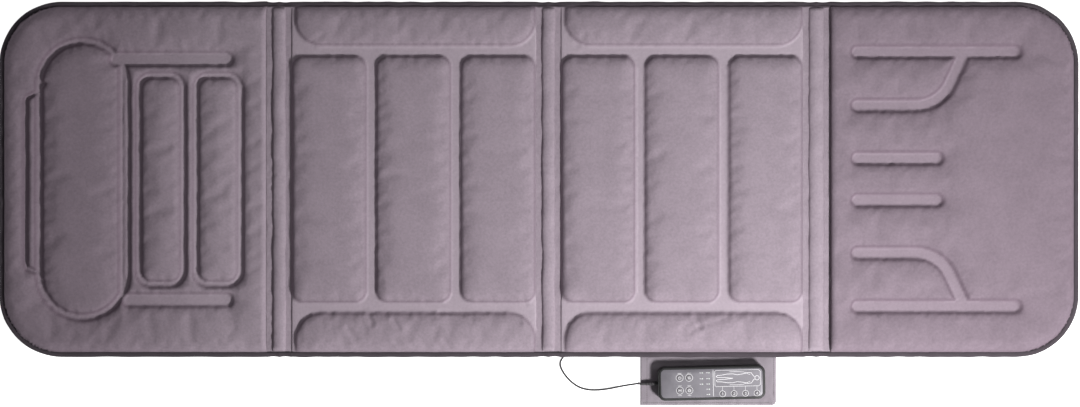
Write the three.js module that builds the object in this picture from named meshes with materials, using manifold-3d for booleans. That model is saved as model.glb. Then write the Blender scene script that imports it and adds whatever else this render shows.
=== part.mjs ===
// Folding full-body massage mat with heat: four cushioned sections joined by three fold webs,
// eight vibration motors, a side pocket and a wired hand control.
// Millimetres, +Z up. X runs from the head end (-X) to the foot end (+X). The origin is under the
// middle of the whole outline, on the surface that the mat lies on.
import * as THREE from "three";
import { mergeVertices } from "three/addons/utils/BufferGeometryUtils.js";
import Module from "manifold-3d";

const wasm = await Module();
wasm.setup();

// ---- driving dimensions ----

// plan of the mat
const headLength = 422;
const backLength = 386;
const seatLength = 382;
const legLength = 392;
const foldWidth = 38;
const legFoldWidth = 42;
const matWidth = 560;
const cornerRadius = 98;

// thickness of the layers
const padHeight = 28;
const cushionHeight = 26;
const seamHeight = 12;
const webThickness = 5;
const baseCloth = 1.4;
const coverFloor = 15.5;
const coverSheet = 1.9;
const heatSheet = 1.2;
const fit = 0.3;

// edge binding
const bindingWidth = 9;
const bindingWall = 1.2;
const bodyInset = 10;

// raised pads and pressed grooves
const padHalfWidth = 195;
const padChannel = 13;
const padCorner = 20;
const padChamfer = 5;
const bolsterGap = 14;
const bolsterCorner = 44;
const bolsterEndGap = 6;
const cushionChamfer = 8;
const grooveWidth = 16;
const grooveFloor = 16;

// pillow and neck pads of the head section, measured from its outer end
const pillowCentre = 133.5;
const pillowWidth = 131;
const pillowLength = 427;
const pillowRing = 7;
const neckPadStarts = [224, 316];
const neckPadWidth = 63;
const neckPadLength = 316;
const neckRing = 6;

// leg grooves, measured from the section's fold end
const legGrooveStart = 43;
const longGrooveY = 200;
const longGrooveEnd = 290;
const branchGrooveY = 116;
const branchStraight = 91;
const branchRadius = 60;
const branchAngle = THREE.MathUtils.degToRad(65);
const shortGrooveY = 33;
const shortGrooveEnd = 167;

// vibration motors
const motorRadius = 23;
const motorHeight = 20;
const motorWall = 2;
const pinRadius = 1.5;
const pinPlay = 0.1;
const rotorHub = 4;
const rotorRadius = 17;
const rotorHeight = 12;
const rotorLift = 4;
const pinReach = 2;
const caseChamfer = 1;

// heat sheets
const heatLength = 330;
const heatWidth = 360;

// side pocket, its start measured from the seat section's head-side end
const pocketStart = 126;
const pocketLength = 215;
const pocketDepth = 77;
const pocketSheet = 1.2;
const pocketGap = 5;

// hand control, in its own frame: length along X, top face at +Z
const handsetLength = 168;
const handsetWidth = 53;
const handsetHeight = 20;
const handsetCorner = 11;
const handsetWall = 2;
const handsetEdge = 2.5;
const handsetSplit = 10;
const handsetFromPocketStart = 111;
const handsetOverhang = 39.5;
const handsetTurn = THREE.MathUtils.degToRad(1.3);
const topWall = 3.5;
const faceThickness = 1;
const faceInset = 4;
const boardThickness = 1.2;
const boardLift = 11.5;
const keyProud = 0.8;
const keyTravel = 0.7;
const keyFlange = 1.2;
const keyFlangeThickness = 1.2;
const modeKeyMiddle = [-42.9, -0.8];
const modeKeyPitch = [14.8, 19.8];
const zoneKeyStart = 16.5;
const zoneKeyPitch = 18;
const zoneKeyY = -17.2;
const modeKeyRadius = 4.7;
const zoneKeyRadius = 3.8;
const bossRadius = 3.5;
const bossSpacing = 132;
const screwRadius = 1.3;
const screwHead = 2.8;
const screwBite = 2;
const boardMargin = 1;

// cord and its ends
const cordDiameter = 3;
const bootLength = 27;
const bootRadius = 3.25;
const bootTip = 2.1;
const bootHeight = 5.3;
const bootNeck = 2.3;
const bootFlange = 3;
const bootFlangeThickness = 1.2;
const bootCollar = 5;
const grommetHeight = 4.2;
const grommetX = 6;
const grommetFlange = 3.2;
const grommetNeck = 2.2;
const grommetProud = 2;

// direct-current inlet in the edge of the seat section
const inletX = 60;
const inletWidth = 11;
const inletHeight = 6.2;
const inletDepth = 9;
const inletHeightAbove = 1.1;
const inletBore = 2.6;
const inletBoreDepth = 7;
const inletPinSetBack = 1;
const inletPin = 0.8;

const roundSegments = 12;
const cornerSegments = 3;
const smallCornerSegments = 2;

// ---- sizes worked out from the driving dimensions ----

const matLength = headLength + backLength + seatLength + legLength + 2 * foldWidth + legFoldWidth;
const halfWidth = matWidth / 2;
const headStart = -matLength / 2;
const headEnd = headStart + headLength;
const backStart = headEnd + foldWidth;
const backEnd = backStart + backLength;
const seatStart = backEnd + foldWidth;
const seatEnd = seatStart + seatLength;
const legStart = seatEnd + legFoldWidth;
const legEnd = legStart + legLength;
const flangeLow = seamHeight - webThickness / 2;
const flangeHigh = seamHeight + webThickness / 2;
const coverUnder = coverFloor - coverSheet;
const coreLow = baseCloth + fit;
const bodyHalf = halfWidth - bodyInset;
const pocketShift = pocketDepth / 2;
const pocketTop = 2 * pocketSheet + pocketGap + fit;
const bindingBottom = flangeLow - fit - bindingWall;
const bindingTop = flangeHigh + fit + bindingWall;

// ---- materials ----

const finish = (color, roughness, metalness = 0) => ({ color, roughness, metalness });
const FINISHES = {
  plush: finish(0x9b8e98, 0.92),
  web: finish(0x8d818b, 0.93),
  binding: finish(0x645c63, 0.85),
  base: finish(0x565056, 0.9),
  pocket: finish(0x8f888f, 0.85),
  foam: finish(0xd9d3c4, 0.95),
  heat: finish(0x3a3a3e, 0.7),
  motorCase: finish(0x2e2e31, 0.45),
  rotor: finish(0x9c9a94, 0.35, 0.8),
  shell: finish(0x1f1d20, 0.4),
  face: finish(0x8f8c93, 0.35, 0.3),
  board: finish(0x2d5a3b, 0.6),
  key: finish(0xa7a3a9, 0.5),
  rubber: finish(0x242225, 0.7),
  cord: finish(0x3a363a, 0.6),
  screw: finish(0xb4b4b8, 0.3, 0.9),
};

// ---- solids ----

function toSolid(geometry) {
  const bare = geometry.clone();
  bare.deleteAttribute("normal");
  bare.deleteAttribute("uv");
  const merged = mergeVertices(bare, 1e-4);
  return new wasm.Manifold(
    new wasm.Mesh({
      numProp: 3,
      vertProperties: new Float32Array(merged.attributes.position.array),
      triVerts: new Uint32Array(merged.index.array),
    }),
  );
}

function toGeometry(solid) {
  const mesh = solid.getMesh();
  const geometry = new THREE.BufferGeometry();
  geometry.setAttribute("position", new THREE.BufferAttribute(new Float32Array(mesh.vertProperties), 3));
  geometry.setIndex(new THREE.BufferAttribute(new Uint32Array(mesh.triVerts), 1));
  geometry.computeVertexNormals();
  return geometry;
}

const joined = (solids) => solids.reduce((whole, piece) => whole.add(piece));
const cut = (solid, tools) => tools.reduce((rest, tool) => rest.subtract(tool), solid);

// A flat plate between two heights; a chamfer slopes both its rims inwards.
function plate(shape, low, high, chamfer = 0, curveSegments = cornerSegments) {
  const geometry = new THREE.ExtrudeGeometry(shape, {
    depth: high - low - 2 * chamfer,
    bevelEnabled: chamfer > 0,
    bevelThickness: chamfer,
    bevelSize: chamfer,
    bevelOffset: -chamfer,
    bevelSegments: 1,
    curveSegments,
  });
  geometry.translate(0, 0, low + chamfer);
  return toSolid(geometry);
}

// A rectangle whose low-X and high-X ends have their own corner radii.
function outline(x0, x1, y0, y1, lowRadius = 0, highRadius = lowRadius) {
  const shape = new THREE.Shape();
  const quarter = Math.PI / 2;
  shape.moveTo(x0 + lowRadius, y0);
  shape.lineTo(x1 - highRadius, y0);
  if (highRadius) shape.absarc(x1 - highRadius, y0 + highRadius, highRadius, -quarter, 0);
  shape.lineTo(x1, y1 - highRadius);
  if (highRadius) shape.absarc(x1 - highRadius, y1 - highRadius, highRadius, 0, quarter);
  shape.lineTo(x0 + lowRadius, y1);
  if (lowRadius) shape.absarc(x0 + lowRadius, y1 - lowRadius, lowRadius, quarter, 2 * quarter);
  shape.lineTo(x0, y0 + lowRadius);
  if (lowRadius) shape.absarc(x0 + lowRadius, y0 + lowRadius, lowRadius, 2 * quarter, 3 * quarter);
  return shape;
}

// A slot with round ends between two points of the plan.
function slotShape(ax, ay, bx, by, width) {
  const angle = Math.atan2(by - ay, bx - ax);
  const shape = new THREE.Shape();
  shape.absarc(bx, by, width / 2, angle - Math.PI / 2, angle + Math.PI / 2);
  shape.absarc(ax, ay, width / 2, angle + Math.PI / 2, angle + 1.5 * Math.PI);
  return shape;
}

function disc(x, y, radius, low, high, segments = roundSegments) {
  const geometry = new THREE.CylinderGeometry(radius, radius, high - low, segments);
  geometry.rotateX(Math.PI / 2);
  geometry.translate(x, y, (low + high) / 2);
  return toSolid(geometry);
}

function block(x0, x1, y0, y1, z0, z1) {
  const geometry = new THREE.BoxGeometry(x1 - x0, y1 - y0, z1 - z0);
  geometry.translate((x0 + x1) / 2, (y0 + y1) / 2, (z0 + z1) / 2);
  return toSolid(geometry);
}

// A turned solid along +X from its profile of [radius, distance] points.
function turnedAlongX(profile, segments = roundSegments) {
  const points = profile.map(([radius, along]) => new THREE.Vector2(radius, along));
  const geometry = new THREE.LatheGeometry(points, segments);
  geometry.rotateZ(-Math.PI / 2);
  return geometry;
}

function addMesh(group, name, geometry, look) {
  const mesh = new THREE.Mesh(geometry, new THREE.MeshStandardMaterial(look));
  mesh.name = name;
  group.add(mesh);
  return mesh;
}

// ---- the four sections ----

// open: which ends meet a fold, so that they have no flange or binding
const SECTIONS = [
  { name: "head", x0: headStart, x1: headEnd, lowOpen: false, highOpen: true, heated: false },
  { name: "back", x0: backStart, x1: backEnd, lowOpen: true, highOpen: true, heated: true },
  { name: "seat", x0: seatStart, x1: seatEnd, lowOpen: true, highOpen: true, heated: true },
  { name: "leg", x0: legStart, x1: legEnd, lowOpen: true, highOpen: false, heated: false },
];

// The section's plan, drawn in by inset on its bound sides and by endInset at its fold ends.
function plan(section, inset, endInset = 0) {
  const x0 = section.x0 + (section.lowOpen ? endInset : inset);
  const x1 = section.x1 - (section.highOpen ? endInset : inset);
  const radius = cornerRadius - inset;
  const half = halfWidth - inset;
  return outline(x0, x1, -half, half, section.lowOpen ? 0 : radius, section.highOpen ? 0 : radius);
}

function motorPlaces(section) {
  const neckPadMiddle = headStart + neckPadStarts[0] + neckPadWidth / 2;
  const places = {
    head: [neckPadMiddle, neckPadLength / 4],
    back: [(backStart + backEnd) / 2, padHalfWidth / 2],
    seat: [(seatStart + seatEnd) / 2, padHalfWidth / 2],
    leg: [legStart + (longGrooveEnd + shortGrooveEnd) / 2 + grooveWidth, branchGrooveY / 2],
  };
  const [x, y] = places[section.name];
  return { left: [x, y], right: [x, -y] };
}

// The base cloth is a tray: a floor, a wall all round and a flange that the binding grips.
function baseTray(section) {
  const flange = plate(plan(section, bindingWall + fit), flangeLow, seamHeight - fit / 2);
  const body = plate(plan(section, bodyInset), 0, seamHeight - fit / 2);
  const hollow = plate(plan(section, bodyInset + baseCloth, baseCloth), baseCloth, padHeight);
  const tray = body.add(flange).subtract(hollow);
  return section.name === "seat" ? cut(tray, seatWallHoles()) : tray;
}

function seatWallHoles() {
  const wall = -bodyHalf;
  const grommetHole = new THREE.CylinderGeometry(
    grommetNeck + fit, grommetNeck + fit, 4 * baseCloth, roundSegments);
  grommetHole.translate(seatStart + grommetX, wall, grommetHeight);
  return [toSolid(grommetHole), inletBlock(fit, -fit)];
}

// The space of the inlet's body, grown by a clearance and started that far before its face.
function inletBlock(clearance, faceShift) {
  const middle = seatStart + inletX;
  const half = inletWidth / 2 + clearance;
  const low = inletHeightAbove + baseCloth - clearance;
  return block(middle - half, middle + half, -bodyHalf - fit + faceShift,
    -bodyHalf - fit + inletDepth + clearance, low, low + inletHeight + 2 * clearance);
}

function coreTop(section) {
  return coverUnder - fit - (section.heated ? heatSheet + fit : 0);
}

function foamCore(section) {
  const inset = bodyInset + baseCloth + fit;
  const slab = plate(plan(section, inset, baseCloth + fit), coreLow, coreTop(section));
  const holes = Object.values(motorPlaces(section)).map(([x, y]) =>
    disc(x, y, motorRadius + fit, 0, padHeight));
  if (section.name === "seat") holes.push(inletBlock(fit, 0));
  return cut(slab, holes);
}

function heatPad(section) {
  const middle = (section.x0 + section.x1) / 2;
  const shape = outline(
    middle - heatLength / 2, middle + heatLength / 2, -heatWidth / 2, heatWidth / 2, padCorner);
  const low = coreTop(section) + fit;
  const holes = Object.values(motorPlaces(section)).map(([x, y]) =>
    disc(x, y, motorRadius + fit, 0, padHeight));
  return cut(plate(shape, low, low + heatSheet, 0, smallCornerSegments), holes);
}

// Three raised pads between two bolsters, for the back and the seat.
function raisedPads(section) {
  const low = coverUnder - padChamfer;
  const width = (section.x1 - section.x0 - 2 * padChannel) / 3;
  const pads = [0, 1, 2].map((i) => {
    const x = section.x0 + i * (width + padChannel);
    return plate(outline(x, x + width, -padHalfWidth, padHalfWidth, padCorner),
      low, padHeight, padChamfer, smallCornerSegments);
  });
  const inner = padHalfWidth + bolsterGap;
  const start = section.x0 + bolsterEndGap;
  const side = new THREE.Shape();
  side.moveTo(start, bodyHalf);
  side.lineTo(start, inner + bolsterCorner);
  side.absarc(start + bolsterCorner, inner + bolsterCorner, bolsterCorner, Math.PI, 1.5 * Math.PI);
  side.absarc(section.x1 - bolsterCorner, inner + bolsterCorner, bolsterCorner, 1.5 * Math.PI, 2 * Math.PI);
  side.lineTo(section.x1, bodyHalf);
  side.closePath();
  const bolster = plate(side, low, cushionHeight, padChamfer, smallCornerSegments);
  return [...pads, bolster, bolster.mirror([0, 1, 0])];
}

// A pressed ring: the band between an outline and the same outline drawn in.
function pressedRing(x, width, length, ring, radius) {
  const half = width / 2;
  const outer = outline(x - half - ring, x + half + ring, -length / 2 - ring, length / 2 + ring,
    radius + ring);
  const inner = outline(x - half, x + half, -length / 2, length / 2, radius);
  return plate(outer, grooveFloor, 2 * padHeight).subtract(plate(inner, 0, 3 * padHeight));
}

function headGrooves() {
  const rings = neckPadStarts.map((start) =>
    pressedRing(headStart + start + neckPadWidth / 2, neckPadWidth, neckPadLength, neckRing, neckRing));
  const pillow = pressedRing(
    headStart + pillowCentre, pillowWidth, pillowLength, pillowRing, pillowWidth / 2 - fit);
  return [...rings, pillow];
}

function legGrooves() {
  const groove = (shape) => plate(shape, grooveFloor, 2 * padHeight);
  const start = legStart + legGrooveStart;
  const bendX = start + branchStraight;
  const grooves = [];
  for (const side of [-1, 1]) {
    grooves.push(groove(slotShape(start, side * longGrooveY,
      legStart + longGrooveEnd, side * longGrooveY, grooveWidth)));
    grooves.push(groove(slotShape(start, side * shortGrooveY,
      legStart + shortGrooveEnd, side * shortGrooveY, grooveWidth)));
    grooves.push(groove(slotShape(start, side * branchGrooveY, bendX, side * branchGrooveY, grooveWidth)));
    // the branch turns outwards on an arc and runs on straight into the long groove
    const at = (angle) => [bendX + branchRadius * Math.sin(angle),
      side * (branchGrooveY + branchRadius * (1 - Math.cos(angle)))];
    const turns = 4;
    for (let i = 0; i < turns; i += 1) {
      const from = at((branchAngle * i) / turns);
      const to = at((branchAngle * (i + 1)) / turns);
      grooves.push(groove(slotShape(...from, ...to, grooveWidth)));
    }
    const [x, y] = at(branchAngle);
    const rest = (longGrooveY - Math.abs(y)) / Math.tan(branchAngle);
    grooves.push(groove(slotShape(x, y, x + rest, side * longGrooveY, grooveWidth)));
  }
  return grooves;
}

// The quilted cover: a flange, a pressed sheet over the core and the raised shapes on it.
function topCover(section) {
  const flange = plate(plan(section, bindingWall + fit), seamHeight + fit / 2, flangeHigh);
  const sheet = plate(plan(section, bodyInset), seamHeight + fit / 2, coverFloor);
  const paired = section.name === "back" || section.name === "seat";
  const cushion = paired
    ? raisedPads(section)
    : [plate(plan(section, bodyInset), coverUnder - cushionChamfer, cushionHeight, cushionChamfer)];
  const space = plate(plan(section, bodyInset + baseCloth, baseCloth), -padHeight, coverUnder);
  const under = plate(plan(section, -1, -1), -padHeight, seamHeight + fit / 2);
  const motors = Object.values(motorPlaces(section)).map(([x, y]) =>
    disc(x, y, motorRadius + fit, 0, coreLow + motorHeight + fit));
  const grooves = { head: headGrooves, leg: legGrooves }[section.name]?.() ?? [];
  return cut(joined([flange, sheet, ...cushion]), [space, under, ...motors, ...grooves]);
}

// The binding is a folded tape: a C section that grips both flanges.
function binding(section) {
  const past = -bindingWidth;
  const tape = plate(plan(section, 0), bindingBottom, bindingTop);
  const inside = plate(plan(section, bindingWidth, past), 0, 2 * padHeight);
  const slot = plate(plan(section, bindingWall, past), bindingBottom + bindingWall,
    bindingTop - bindingWall);
  return cut(tape, [inside, slot]);
}

function sideOf(solid, side) {
  const far = matLength;
  const keep = side > 0 ? block(-far, far, 0, far, -far, far) : block(-far, far, -far, 0, -far, far);
  return solid.intersect(keep);
}

function buildSection(section) {
  const group = new THREE.Group();
  addMesh(group, `${section.name}_base_cloth`, toGeometry(baseTray(section)), FINISHES.base);
  addMesh(group, `${section.name}_foam_core`, toGeometry(foamCore(section)), FINISHES.foam);
  addMesh(group, `${section.name}_top_cover`, toGeometry(topCover(section)), FINISHES.plush);
  if (section.heated) {
    addMesh(group, `${section.name}_heat_pad`, toGeometry(heatPad(section)), FINISHES.heat);
  }
  const tape = binding(section);
  if (section.lowOpen && section.highOpen) {
    for (const [side, sign] of [["left", 1], ["right", -1]]) {
      addMesh(group, `${section.name}_binding_${side}`, toGeometry(sideOf(tape, sign)), FINISHES.binding);
    }
  } else {
    addMesh(group, `${section.name}_binding`, toGeometry(tape), FINISHES.binding);
  }
  for (const [side, [x, y]] of Object.entries(motorPlaces(section))) {
    group.add(buildMotor(`${section.name}_${side}`, x, y));
  }
  return group;
}

// ---- vibration motors ----

// A can closed at the top, with the pin that the rotor turns on hanging from its lid.
function motorCase() {
  const inner = motorRadius - motorWall;
  const profile = [
    [0, pinReach], [pinRadius, pinReach], [pinRadius, motorHeight - motorWall],
    [inner, motorHeight - motorWall], [inner, 0], [motorRadius, 0],
    [motorRadius, motorHeight - caseChamfer], [motorRadius - caseChamfer, motorHeight], [0, motorHeight],
  ];
  const geometry = new THREE.LatheGeometry(profile.map(([r, z]) => new THREE.Vector2(r, z)), roundSegments);
  geometry.rotateX(Math.PI / 2);
  return geometry;
}

// An off-centre weight: half a disc joined to a hub.
function rotor() {
  const weight = new THREE.Shape();
  weight.absarc(0, 0, rotorRadius, 0, Math.PI);
  weight.closePath();
  const bore = pinRadius + pinPlay;
  const half = plate(weight, 0, rotorHeight, 0, 5);
  const hub = disc(0, 0, rotorHub, 0, rotorHeight);
  return cut(half.add(hub), [disc(0, 0, bore, -1, rotorHeight + 1)]);
}

function buildMotor(name, x, y) {
  const motor = new THREE.Group();
  motor.position.set(x, y, coreLow);
  addMesh(motor, `${name}_motor_case`, motorCase(), FINISHES.motorCase);
  addMesh(motor, `${name}_rotor`, toGeometry(rotor()), FINISHES.rotor).position.z = rotorLift;
  return motor;
}

// ---- fold webs ----

// A flat web whose two long edges are rounded about the fold lines.
function foldWeb(x0, x1) {
  const radius = webThickness / 2;
  const section = new THREE.Shape();
  section.absarc(x1 - fit - radius, seamHeight, radius, -Math.PI / 2, Math.PI / 2);
  section.absarc(x0 + fit + radius, seamHeight, radius, Math.PI / 2, 1.5 * Math.PI);
  const geometry = new THREE.ExtrudeGeometry(section, {
    depth: matWidth, bevelEnabled: false, curveSegments: cornerSegments });
  geometry.rotateX(Math.PI / 2);
  geometry.translate(0, halfWidth, 0);
  return geometry;
}

function buildWebs() {
  const group = new THREE.Group();
  addMesh(group, "head_fold_web", foldWeb(headEnd, backStart), FINISHES.web);
  addMesh(group, "middle_fold_web", foldWeb(backEnd, seatStart), FINISHES.web);
  addMesh(group, "leg_fold_web", foldWeb(seatEnd, legStart), FINISHES.web);
  return group;
}

// ---- side pocket ----

function buildPocket() {
  const group = new THREE.Group();
  const x0 = seatStart + pocketStart;
  const x1 = x0 + pocketLength;
  const y0 = -halfWidth - pocketDepth;
  const y1 = -bodyHalf - fit;
  const back = block(x0, x1, y0, y1, 0, pocketSheet);
  const low = pocketSheet + fit;
  const shell = block(x0, x1, y0, y1, low, pocketTop);
  const hollow = block(x0 - 1, x1 - pocketSheet, y0 + pocketSheet, y1 - pocketSheet,
    0, pocketTop - pocketSheet);
  addMesh(group, "pocket_back_panel", toGeometry(back), FINISHES.pocket);
  addMesh(group, "pocket_front_panel", toGeometry(shell.subtract(hollow)), FINISHES.pocket);
  return group;
}

// ---- hand control ----

const faceTop = handsetHeight;
const wallUnder = handsetHeight - topWall;
const bossPlaces = [-bossSpacing / 2, bossSpacing / 2];

// Keys by name: place on the face and cap radius.
function keyPlaces() {
  const modes = { power_key: [-1, 1], heat_key: [1, 1], mode_key: [-1, -1], speed_key: [1, -1] };
  const keys = {};
  for (const [name, [across, up]] of Object.entries(modes)) {
    keys[name] = {
      x: modeKeyMiddle[0] + (across * modeKeyPitch[0]) / 2,
      y: modeKeyMiddle[1] + (up * modeKeyPitch[1]) / 2,
      radius: modeKeyRadius,
    };
  }
  for (let zone = 1; zone <= SECTIONS.length; zone += 1) {
    const x = zoneKeyStart + (zone - 1) * zoneKeyPitch;
    keys[`zone_${zone}_key`] = { x, y: zoneKeyY, radius: zoneKeyRadius };
  }
  return keys;
}

function handsetOutline(inset) {
  const x = handsetLength / 2 - inset;
  const y = handsetWidth / 2 - inset;
  return outline(-x, x, -y, y, handsetCorner - inset);
}

function bottomShell() {
  const body = plate(handsetOutline(0), 0, handsetHeight, handsetEdge);
  const above = plate(handsetOutline(-1), handsetSplit - fit / 2, 2 * handsetHeight);
  const hollow = plate(handsetOutline(handsetWall), handsetWall, handsetHeight);
  const bosses = bossPlaces.map((x) => disc(x, 0, bossRadius, handsetWall / 2, boardLift - fit));
  const holes = bossPlaces.flatMap((x) => [
    disc(x, 0, screwRadius + fit, -1, handsetHeight),
    disc(x, 0, screwHead + fit, -1, handsetWall + fit),
  ]);
  const bootHole = new THREE.CylinderGeometry(
    bootNeck + fit, bootNeck + fit, 4 * handsetWall, roundSegments);
  bootHole.rotateZ(Math.PI / 2);
  bootHole.translate(-handsetLength / 2, 0, bootHeight);
  return cut(joined([cut(body, [above, hollow]), ...bosses]), [...holes, toSolid(bootHole)]);
}

function topShell() {
  const body = plate(handsetOutline(0), 0, handsetHeight, handsetEdge);
  const below = plate(handsetOutline(-1), -1, handsetSplit + fit / 2);
  const hollow = plate(handsetOutline(handsetWall), 0, wallUnder);
  const recess = plate(handsetOutline(faceInset), faceTop - faceThickness - fit, 2 * handsetHeight);
  const bosses = bossPlaces.map((x) =>
    disc(x, 0, bossRadius, boardLift + boardThickness + fit, wallUnder + 1));
  const screwHoles = bossPlaces.map((x) => disc(x, 0, screwRadius + fit, 0, wallUnder));
  return cut(joined([cut(body, [below, hollow, recess]), ...bosses]), [...screwHoles, ...keyHoles()]);
}

function keyHoles() {
  return Object.values(keyPlaces()).map(({ x, y, radius }) =>
    disc(x, y, radius + fit, 0, 2 * handsetHeight));
}

function keyCap(radius) {
  const low = boardLift + boardThickness + fit + keyTravel + fit;
  const cap = disc(0, 0, radius, low, faceTop + keyProud);
  return cap.add(disc(0, 0, radius + keyFlange, low, low + keyFlangeThickness));
}

// The strain relief: a flange inside the shell, a neck through its wall and a tapering sleeve.
function cableBoot() {
  const wall = handsetWall + 2 * fit;
  const profile = [
    [0, -wall - bootFlangeThickness], [bootFlange, -wall - bootFlangeThickness],
    [bootFlange, -wall], [bootNeck, -wall],
    [bootNeck, 0], [bootRadius, 0], [bootRadius, bootCollar], [bootTip, bootLength], [0, bootLength],
  ];
  const geometry = turnedAlongX(profile);
  geometry.rotateZ(Math.PI);
  geometry.translate(-handsetLength / 2 - fit, 0, bootHeight);
  return geometry;
}

function screw() {
  const length = boardLift + boardThickness + screwBite;
  const profile = [
    [0, 0], [screwHead, 0], [screwHead, handsetWall - fit], [screwRadius, handsetWall - fit],
    [screwRadius, length], [0, length],
  ];
  const geometry = new THREE.LatheGeometry(profile.map(([r, z]) => new THREE.Vector2(r, z)), roundSegments);
  geometry.rotateX(Math.PI / 2);
  return geometry;
}

function circuitBoard() {
  const shape = handsetOutline(handsetWall + 2 * fit + boardMargin);
  const board = plate(shape, boardLift, boardLift + boardThickness, 0, smallCornerSegments);
  return cut(board, bossPlaces.map((x) => disc(x, 0, screwRadius + 2 * fit, 0, handsetHeight)));
}

function buildHandset() {
  const handset = new THREE.Group();
  handset.position.set(seatStart + pocketStart + handsetFromPocketStart,
    -halfWidth - handsetOverhang, pocketTop + fit);
  handset.rotation.z = handsetTurn;
  addMesh(handset, "handset_bottom_shell", toGeometry(bottomShell()), FINISHES.shell);
  addMesh(handset, "handset_top_shell", toGeometry(topShell()), FINISHES.shell);
  const face = plate(handsetOutline(faceInset + fit), faceTop - faceThickness, faceTop);
  addMesh(handset, "handset_faceplate", toGeometry(cut(face, keyHoles())), FINISHES.face);
  addMesh(handset, "handset_circuit_board", toGeometry(circuitBoard()), FINISHES.board);
  addMesh(handset, "handset_cable_boot", cableBoot(), FINISHES.rubber);
  bossPlaces.forEach((x, i) => {
    addMesh(handset, `handset_screw_${i + 1}`, screw(), FINISHES.screw).position.set(x, 0, fit);
  });
  for (const [name, { x, y, radius }] of Object.entries(keyPlaces())) {
    addMesh(handset, `handset_${name}`, toGeometry(keyCap(radius)), FINISHES.key).position.set(x, y, 0);
  }
  return handset;
}

// ---- cord, grommet and power inlet ----

// A grommet whose neck fills the hole in the base cloth's wall; the cord leaves its outer face.
function grommet() {
  const profile = [
    [0, -baseCloth], [grommetNeck, -baseCloth], [grommetNeck, 0], [grommetFlange, 0],
    [grommetFlange, grommetProud / 2], [grommetNeck, grommetProud], [0, grommetProud],
  ];
  const geometry = turnedAlongX(profile);
  geometry.rotateZ(-Math.PI / 2);
  geometry.translate(seatStart + grommetX, -bodyHalf - fit, grommetHeight);
  return geometry;
}

function powerInlet() {
  const middle = seatStart + inletX;
  const height = inletHeightAbove + baseCloth + inletHeight / 2;
  const face = -bodyHalf - fit;
  const bore = new THREE.CylinderGeometry(inletBore, inletBore, 2 * inletBoreDepth, roundSegments);
  bore.translate(middle, face, height);
  const pinLength = (inletBoreDepth + inletDepth) / 2 - inletPinSetBack;
  const pin = new THREE.CylinderGeometry(inletPin, inletPin, pinLength, roundSegments);
  pin.translate(middle, face + inletPinSetBack + pinLength / 2, height);
  return inletBlock(0, 0).subtract(toSolid(bore)).add(toSolid(pin));
}

// The cord's route from the grommet to the boot of the hand control, at the cord's centre.
const CORD_ROUTE = [
  [40, -272.6, 4.2], [39.9, -275.2, 4.1], [39, -278.6, 3.5], [37.2, -282.2, 2.6], [34.9, -286, 1.9],
  [33.6, -290.4, 1.7], [34.3, -296, 1.7], [38.4, -304.6, 1.7], [45.6, -314.2, 1.7],
  [54.6, -322.6, 1.7], [65.4, -329, 1.7], [77.8, -332.2, 1.7], [90, -332.8, 1.7], [103, -331.8, 1.8],
  [116, -329.6, 2.6], [127.4, -327, 4.8], [137.6, -324.8, 8], [146.4, -323.1, 11.1],
  [153.2, -321.9, 12.8], [158.6, -321.1, 13.25],
];

function cordTube() {
  const curve = new THREE.CatmullRomCurve3(
    CORD_ROUTE.map((point) => new THREE.Vector3(...point)), false, "centripetal");
  const section = new THREE.Shape();
  section.absarc(0, 0, cordDiameter / 2, 0, 2 * Math.PI);
  const steps = Math.round(curve.getLength() / (2 * cordDiameter));
  return new THREE.ExtrudeGeometry(section, { steps, curveSegments: 4, extrudePath: curve });
}

// ---- assembly ----

const mat = new THREE.Group();
mat.position.y = pocketShift;
for (const section of SECTIONS) {
  mat.add(buildSection(section));
}
mat.add(buildWebs());
mat.add(buildPocket());
mat.add(buildHandset());
addMesh(mat, "cord_grommet", grommet(), FINISHES.rubber);
addMesh(mat, "power_inlet", toGeometry(powerInlet()), FINISHES.rubber);
addMesh(mat, "handset_cord", cordTube(), FINISHES.cord);

const root = new THREE.Group();
root.add(mat);

export default root;
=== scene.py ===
"""Folding massage mat with heat, laid out flat, with its wired hand control on the side pocket."""
import math

import bmesh
import bpy
import numpy as np
from bpy.props import FloatProperty, FloatVectorProperty, IntProperty, PointerProperty
from mathutils import Matrix, Vector


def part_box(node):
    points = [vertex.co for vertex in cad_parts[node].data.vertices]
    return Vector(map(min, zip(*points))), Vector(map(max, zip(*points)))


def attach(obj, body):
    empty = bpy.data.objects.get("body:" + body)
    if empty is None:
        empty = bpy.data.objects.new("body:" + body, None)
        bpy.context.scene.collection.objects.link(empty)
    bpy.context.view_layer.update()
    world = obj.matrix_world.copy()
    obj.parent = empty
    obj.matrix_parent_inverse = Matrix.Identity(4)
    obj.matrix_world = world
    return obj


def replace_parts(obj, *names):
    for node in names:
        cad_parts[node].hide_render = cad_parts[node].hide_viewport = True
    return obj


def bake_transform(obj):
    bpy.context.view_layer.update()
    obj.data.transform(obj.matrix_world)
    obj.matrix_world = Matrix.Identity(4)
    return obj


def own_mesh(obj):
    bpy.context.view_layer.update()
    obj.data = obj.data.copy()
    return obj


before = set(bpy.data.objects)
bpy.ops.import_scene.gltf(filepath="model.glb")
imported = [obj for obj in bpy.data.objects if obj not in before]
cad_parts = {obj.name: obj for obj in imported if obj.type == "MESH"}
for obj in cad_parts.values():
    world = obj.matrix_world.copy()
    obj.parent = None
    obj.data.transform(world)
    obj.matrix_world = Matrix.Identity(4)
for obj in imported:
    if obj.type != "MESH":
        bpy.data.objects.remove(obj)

bl_info = {
    "name": "Massage mat",
    "version": (1, 0, 0),
    "blender": (4, 5, 0),
    "location": "3D View > Sidebar > Massage mat",
    "description": "Builds the soft covers, bindings, pocket and hand control of a folding massage mat",
    "category": "Object",
}

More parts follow.
